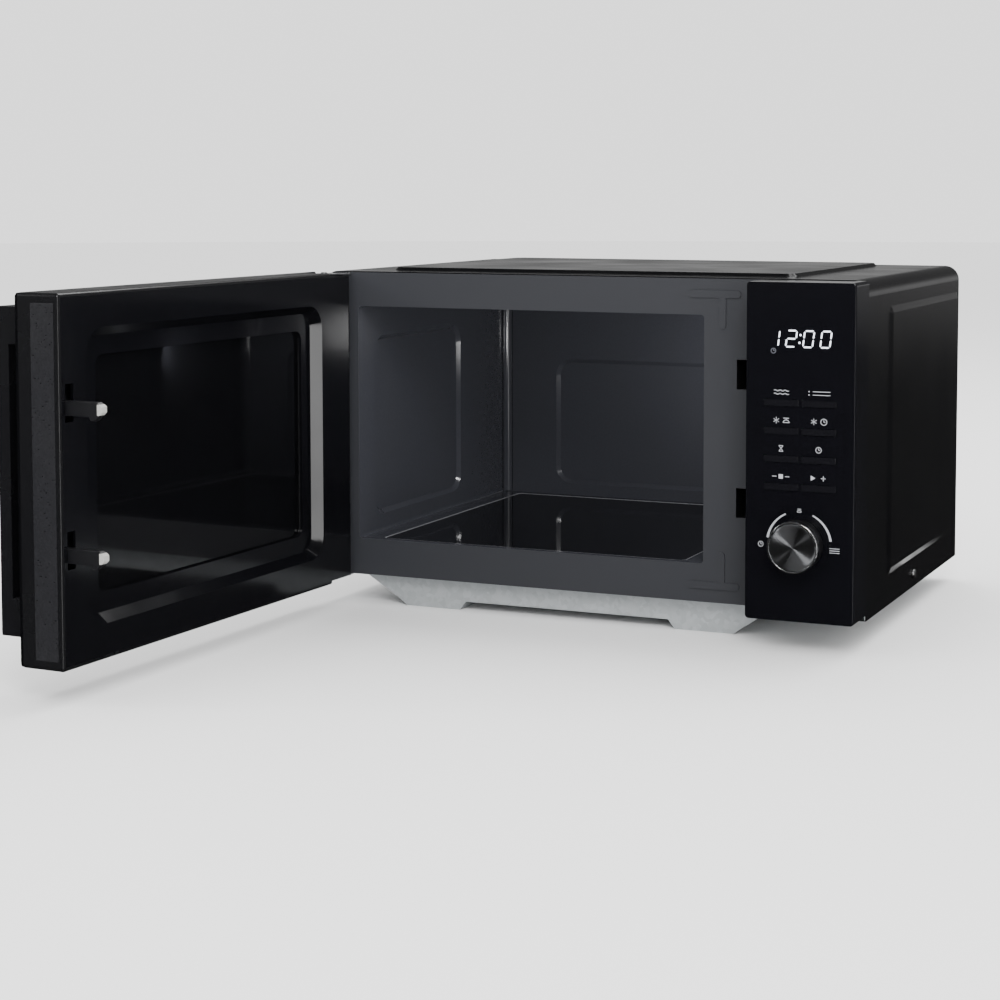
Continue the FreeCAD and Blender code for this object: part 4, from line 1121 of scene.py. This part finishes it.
@dataclass
class Knob:
    """The turned knob: a moulded body, a chromed ring and a face spun from aluminium."""

    ring_width: float = 1.7
    ring_edge: float = 0.8
    face_sink: float = 0.45
    dish: float = 0.35
    skirt_gap: float = 0.6
    foot_gap: float = 0.7
    shaft_radius: float = 3.0
    lip: Pair = (0.2, 0.25)
    face_gap: float = 0.05
    face_edge: Pair = (0.35, 0.3)
    face_depth: float = 1.0
    nest: Pair = (0.1, 0.2)
    shoulder: float = 0.3
    foot_edge: float = 0.4
    groove_places: Pair = (2.0, 3.0)
    groove_halves: Pair = (0.5, 0.2)
    groove_depth: float = 0.35
    body: str = "knob"

    def build(self) -> None:
        """Turn the three pieces on one axis."""
        low, high = box_mm("knob_ring")
        x, z = middle_mm("knob_ring")
        outer, tip, ring_back = (high.x - low.x) / 2, low.y, high.y
        inner = outer - self.ring_width
        e = self.ring_edge
        round_rim = [(outer - e + e * math.sin(t), tip + e - e * math.cos(t))
                     for t in (math.radians(15 * step) for step in range(7))]
        across, along = self.lip
        ring = [(inner, ring_back), (inner, tip + along), (inner + across, tip)] + round_rim
        ring += [(outer, ring_back), (inner, ring_back)]
        smooth(shape("knob_chrome_ring", *lathe(ring, (x, z)), CHROME, self.body, ("knob_ring",)))
        face_y = tip + self.face_sink
        dish = [(inner * step / 12, face_y + self.dish * (1 - (step / 12) ** 2)) for step in range(12)]
        flat, drop = self.face_edge
        rim = inner - self.face_gap
        face = dish + [(inner - flat, face_y + self.face_gap), (rim, face_y + drop),
                       (rim, face_y + self.face_depth), (0.0, face_y + self.face_depth)]
        spun = TurnedFinish("spun aluminium", "8c8d90", "9c9da0", Surface.TURNED, 0.6, 0.004,
                            (0.36, 0.04), "spun_aluminium", metallic=1.0, centre=(x, z))
        smooth(shape("knob_spun_face", *lathe(face, (x, z)), spun, self.body, ("knob_face",)))
        self.build_body(x, z, outer, ring_back)

    def build_body(self, x: float, z: float, outer: float, ring_back: float) -> None:
        """Turn the moulded body behind the ring, with its two grooves and its shaft.

        Args:
            x: The axis.
            z: The axis.
            outer: The ring's radius.
            ring_back: y of the ring's back.
        """
        low, high = box_mm("knob_body")
        foot = box_mm("control_panel_frame")[0].y - self.foot_gap
        skirt = outer - self.skirt_gap
        clear, sink = self.nest
        nose, top = outer - self.ring_width - clear, low.y + sink
        profile = [(0.0, top), (nose, top), (nose, ring_back), (skirt - self.shoulder, ring_back),
                   (skirt, ring_back + self.shoulder)]
        wide, narrow = self.groove_halves
        bottom = skirt - self.groove_depth
        for groove in (ring_back + self.groove_places[0], foot - self.groove_places[1]):
            profile += [(skirt, groove - wide), (bottom, groove - narrow),
                        (bottom, groove + narrow), (skirt, groove + wide)]
        edge = self.foot_edge
        profile += [(skirt, foot - edge), (skirt - edge, foot), (self.shaft_radius, foot),
                    (self.shaft_radius, high.y), (0.0, high.y)]
        smooth(shape("knob_moulded_body", *lathe(profile, (x, z)), KNOB_BLACK, self.body, ("knob_body",)))


@dataclass
class ControlPanel:
    """The moulded panel with its keys, display, printing and knob."""

    display: Display = field(default_factory=Display)
    printing: Printing = field(default_factory=Printing)
    knob: Knob = field(default_factory=Knob)

    def build(self) -> None:
        """Build the whole panel."""
        dress("control_panel_frame", PANEL_BLACK)
        for key, _ in self.printing.rows:
            dress(key, KEY_BLACK, 0.45)
        self.display.build()
        self.printing.build()
        self.knob.build()


# ---------------------------------------------------------------- door
@dataclass
class Door:
    """The door, built shut and swung open to where the CAD door rests."""

    strip_start: float = 14.0
    strip_end: float = 34.0
    strip_end_gap: float = 7.0
    strip_proud: float = 0.15
    pebble: float = 1.6
    pebble_height: float = 0.3
    pebble_step: float = 0.8
    hole_pitch: float = 3.6
    hole_radius: float = 1.15
    sheet: float = 0.6
    film_overlap: float = 5.0
    bead: float = 0.8
    bead_rise: float = 1.2
    bead_gap: float = 0.05
    bead_corner: float = 8.0
    strip_sink: float = 0.1
    rim_overlap: float = 1.0
    rim_half: float = 0.1
    body: str = "door"

    def __post_init__(self) -> None:
        """Read the hinge's axis and rest angle from the frame."""
        hinge = next(joint for joint in frame["joints"] if joint["name"] == "door_hinge")
        pivot = Matrix.Translation(Vector(hinge["pos_m"]) / MM)
        turn = Matrix.Rotation(-math.radians(hinge["range_deg"][1]), 4, "Z")
        self.opening = pivot @ turn @ pivot.inverted()

    def shut_box(self, node: str) -> tuple[Vector, Vector]:
        """A door node's lowest and highest corners with the door shut, in millimetres."""
        back = self.opening.inverted()
        points = [back @ (vertex.co / MM) for vertex in frame["nodes"][node].data.vertices]
        low = Vector(min(point[axis] for point in points) for axis in range(3))
        high = Vector(max(point[axis] for point in points) for axis in range(3))
        return low, high

    def swung(self, made: Mesh) -> Mesh:
        """Swing points that were placed on the shut door to the open one."""
        points, faces = made
        return [tuple(self.opening @ Vector(point)) for point in points], faces

    def build_frame(self) -> None:
        """Dress the moulded frame, its glass and the choke cover."""
        dress("door_outer_frame", DOOR_BLACK)
        dress("door_choke_cover", CHOKE_BLACK)
        low, high = self.window
        corners = [self.opening @ Vector(point) for point in (low, high)]
        spans = sorted(corner.y for corner in corners)
        glass = WindowFinish("black-printed float glass", "060607", "09090b", Surface.POLISHED,
                             30.0, 0.001, (0.03, 0.03), "door_glass", ior=1.52,
                             low=(spans[0], low.z), high=(spans[1], high.z), clear=0.62)
        dress("door_front_glass", glass)
        dress("door_inner_film", FILM)
        dress("hinge_pins", BRIGHT_STEEL)
        dress("handle_screws", WORKS_STEEL)

    def build_strip(self) -> None:
        """Build the pebbled grip strip along the door's free edge."""
        low, high = self.shut_box("door_outer_frame")
        glass = self.shut_box("door_front_glass")[0].y
        y0, y1 = glass + self.strip_start, glass + self.strip_end
        z0, z1 = low.z + self.strip_end_gap, high.z - self.strip_end_gap
        columns = int((y1 - y0) / self.pebble_step)
        rows = int((z1 - z0) / self.pebble_step)
        points: list[Point] = []
        for row in range(rows + 1):
            for column in range(columns + 1):
                y = y0 + (y1 - y0) * column / columns
                z = z0 + (z1 - z0) * row / rows
                spot = Vector((0.0, y, z)) / self.pebble
                edge = min(1.0, column, columns - column, row, rows - row)
                bump = abs(noise.noise(spot)) * self.pebble_height
                points.append((high.x + self.strip_proud * edge - bump * edge, y, z))
        faces = [[row * (columns + 1) + column, row * (columns + 1) + column + 1,
                  (row + 1) * (columns + 1) + column + 1, (row + 1) * (columns + 1) + column]
                 for row in range(rows) for column in range(columns)]
        rim = [row * (columns + 1) for row in range(rows + 1)]
        rim += [rows * (columns + 1) + column for column in range(1, columns + 1)]
        rim += [row * (columns + 1) + columns for row in range(rows - 1, -1, -1)]
        rim += list(range(columns - 1, 0, -1))
        base = len(points)
        points += [(high.x - self.strip_sink, points[index][1], points[index][2]) for index in rim]
        count = len(rim)
        faces += [[rim[a], rim[b], c, d] for a, b, c, d in band(0, base, count)]
        faces.append(list(range(base, base + count)))
        # The strip's paler colour is painted sheen over its real grain.
        smooth(shape("door_edge_grain_strip", *self.swung((points, faces)), STRIP_BLACK_PAINTED_SHEEN, self.body))

    def build_bezel(self) -> None:
        """Build the rounded bead round the window, which draws a thin bright line."""
        low, high = self.window
        floor = self.shut_box("door_inner_film")[1].y
        inner = frame_corners(low.x, high.x, low.z, high.z, self.bead_corner)
        count = len(inner)
        middle = ((low.x + high.x) / 2, (low.z + high.z) / 2)
        rows = []
        for turn in range(0, 181, 30):
            t = math.radians(turn)
            out = self.bead * (1 - math.cos(t))
            rise = self.bead * self.bead_rise * math.sin(t)
            rows.append([(x + math.copysign(out, x - middle[0]), floor + self.bead_gap + rise,
                          z + math.copysign(out, z - middle[1])) for x, z in inner])
        points = [point for row in rows for point in row]
        last = len(rows) - 1
        faces = [face for r in range(last) for face in band(r * count, (r + 1) * count, count)]
        faces += band(0, last * count, count)
        smooth(shape("door_window_bead", *self.swung((points, faces)), CHOKE_BLACK, self.body))

    def build_screen(self) -> None:
        """Build the choke panel: a folded steel rim round a screen of hexagonal holes."""
        low, high = self.shut_box("door_choke_panel")
        y = high.y - self.sheet / 2
        (x0, z0), (x1, z1) = (self.window[0].x, self.window[0].z), (self.window[1].x, self.window[1].z)
        pitch, drop = self.hole_pitch, self.hole_pitch * math.sqrt(3) / 2
        columns, rows = int((x1 - x0) / pitch), int((z1 - z0) / drop)
        points: list[Point] = []
        faces: list[list[int]] = []
        cell = pitch / math.sqrt(3)
        for row in range(rows):
            for column in range(columns):
                cx = x0 + pitch * (column + 0.25 + 0.5 * (row % 2))
                cz = z0 + drop * (row + 0.5)
                base = len(points)
                for radius in (cell, self.hole_radius):
                    for corner in range(6):
                        t = math.radians(30 + 60 * corner)
                        points.append((cx + radius * math.cos(t), y, cz + radius * math.sin(t)))
                faces += band(base, base + 6, 6)
        right, top = x0 + pitch * (columns + 0.25), z0 + drop * rows
        lap = self.rim_overlap
        bands = [(low.x, high.x, low.z, z0 + lap), (low.x, high.x, top - lap, high.z),
                 (low.x, x0 + lap, z0, top), (right - lap, high.x, z0, top)]
        parts = [(points, faces)]
        for a0, a1, b0, b1 in bands:
            sheet = [(a0, b0), (a1, b0), (a1, b1), (a0, b1)]
            parts.append(prism(sheet, y - self.rim_half, y + self.rim_half))
        walls = [(low.x, low.x + self.sheet, low.z, high.z), (high.x - self.sheet, high.x, low.z, high.z),
                 (low.x, high.x, low.z, low.z + self.sheet), (low.x, high.x, high.z - self.sheet, high.z)]
        for a0, a1, b0, b1 in walls:
            parts.append(prism([(a0, b0), (a1, b0), (a1, b1), (a0, b1)], low.y, y))
        shape("door_perforated_screen", *self.swung(joined(parts)), SCREEN_PAINT, self.body,
              ("door_choke_panel",))

    @property
    def window(self) -> tuple[Vector, Vector]:
        """The window's lowest and highest corners with the door shut, in millimetres."""
        low, high = self.shut_box("door_inner_film")
        rim = Vector((self.film_overlap, 0.0, self.film_overlap))
        return low + rim, high - rim

    def build(self) -> None:
        """Build the whole door."""
        self.build_frame()
        self.build_strip()
        self.build_bezel()
        self.build_screen()


@dataclass
class Latch:
    """The sliding latch: a black bar whose hooks end in caps painted pale, as a painted highlight on the tips."""

    door: Door
    hook_height: float = 13.0
    rest_gap: float = 0.1
    skin: float = 0.15
    reach: float = 4.0
    bite: float = 2.2
    chin: float = 6.0
    brow: float = 3.0
    flat: float = 4.0
    half_width: float = 3.0
    tip_edge: float = 0.3

    def build(self) -> None:
        """Dress the bar and its spring, and cap both hooks with tips painted pale as a highlight."""
        dress("door_latch", LATCH_BLACK, 0.5)
        dress("latch_spring", BRIGHT_STEEL)
        low, high = self.door.shut_box("door_latch")
        x, tip, s = (low.x + high.x) / 2, high.y, self.skin
        slots = {o["name"]: o["box_m"] for o in frame["record"]["physics"]["openings"]}
        for name in ("latch_slot_lower", "latch_slot_upper"):
            base = slots[name][0][2] / MM + self.rest_gap
            top = base + self.hook_height
            low_edge, high_edge = base + self.chin - self.bite, top - self.brow / 2
            side = [(tip - self.reach, low_edge), (tip - self.bite, low_edge), (tip + s, base + self.chin),
                    (tip + s, top - self.brow), (tip - self.flat / 2, high_edge + s),
                    (tip - self.reach, high_edge + s)]
            made = prism(side, x - self.half_width - s, x + self.half_width + s, "yz")
            # Each cap is painted pale: a painted highlight on the hook's tip.
            tip_name = name.replace("latch_slot", "latch_tip")
            cap = shape(tip_name, *self.door.swung(made), LATCH_TIP_PAINTED_HIGHLIGHT, "latch")
            round_edges(cap, self.tip_edge)


@dataclass
class Handle:
    """The upright bar handle on the door's face."""

    edge: float = 1.2

    def build(self) -> None:
        """Dress the handle and round its edges."""
        dress("door_handle", HANDLE_BLACK, self.edge)


def main() -> None:
    """Build the studio and every sub-assembly of the oven."""
    logging.basicConfig(level=logging.INFO, format="%(name)s: %(message)s")
    door = Door()
    for part in (Studio(), Cabinet(), Works(), ControlPanel(), door, Latch(door), Handle()):
        part.build()
        LOG.info("finished %s", type(part).__name__)


if __name__ == "__main__":
    main()
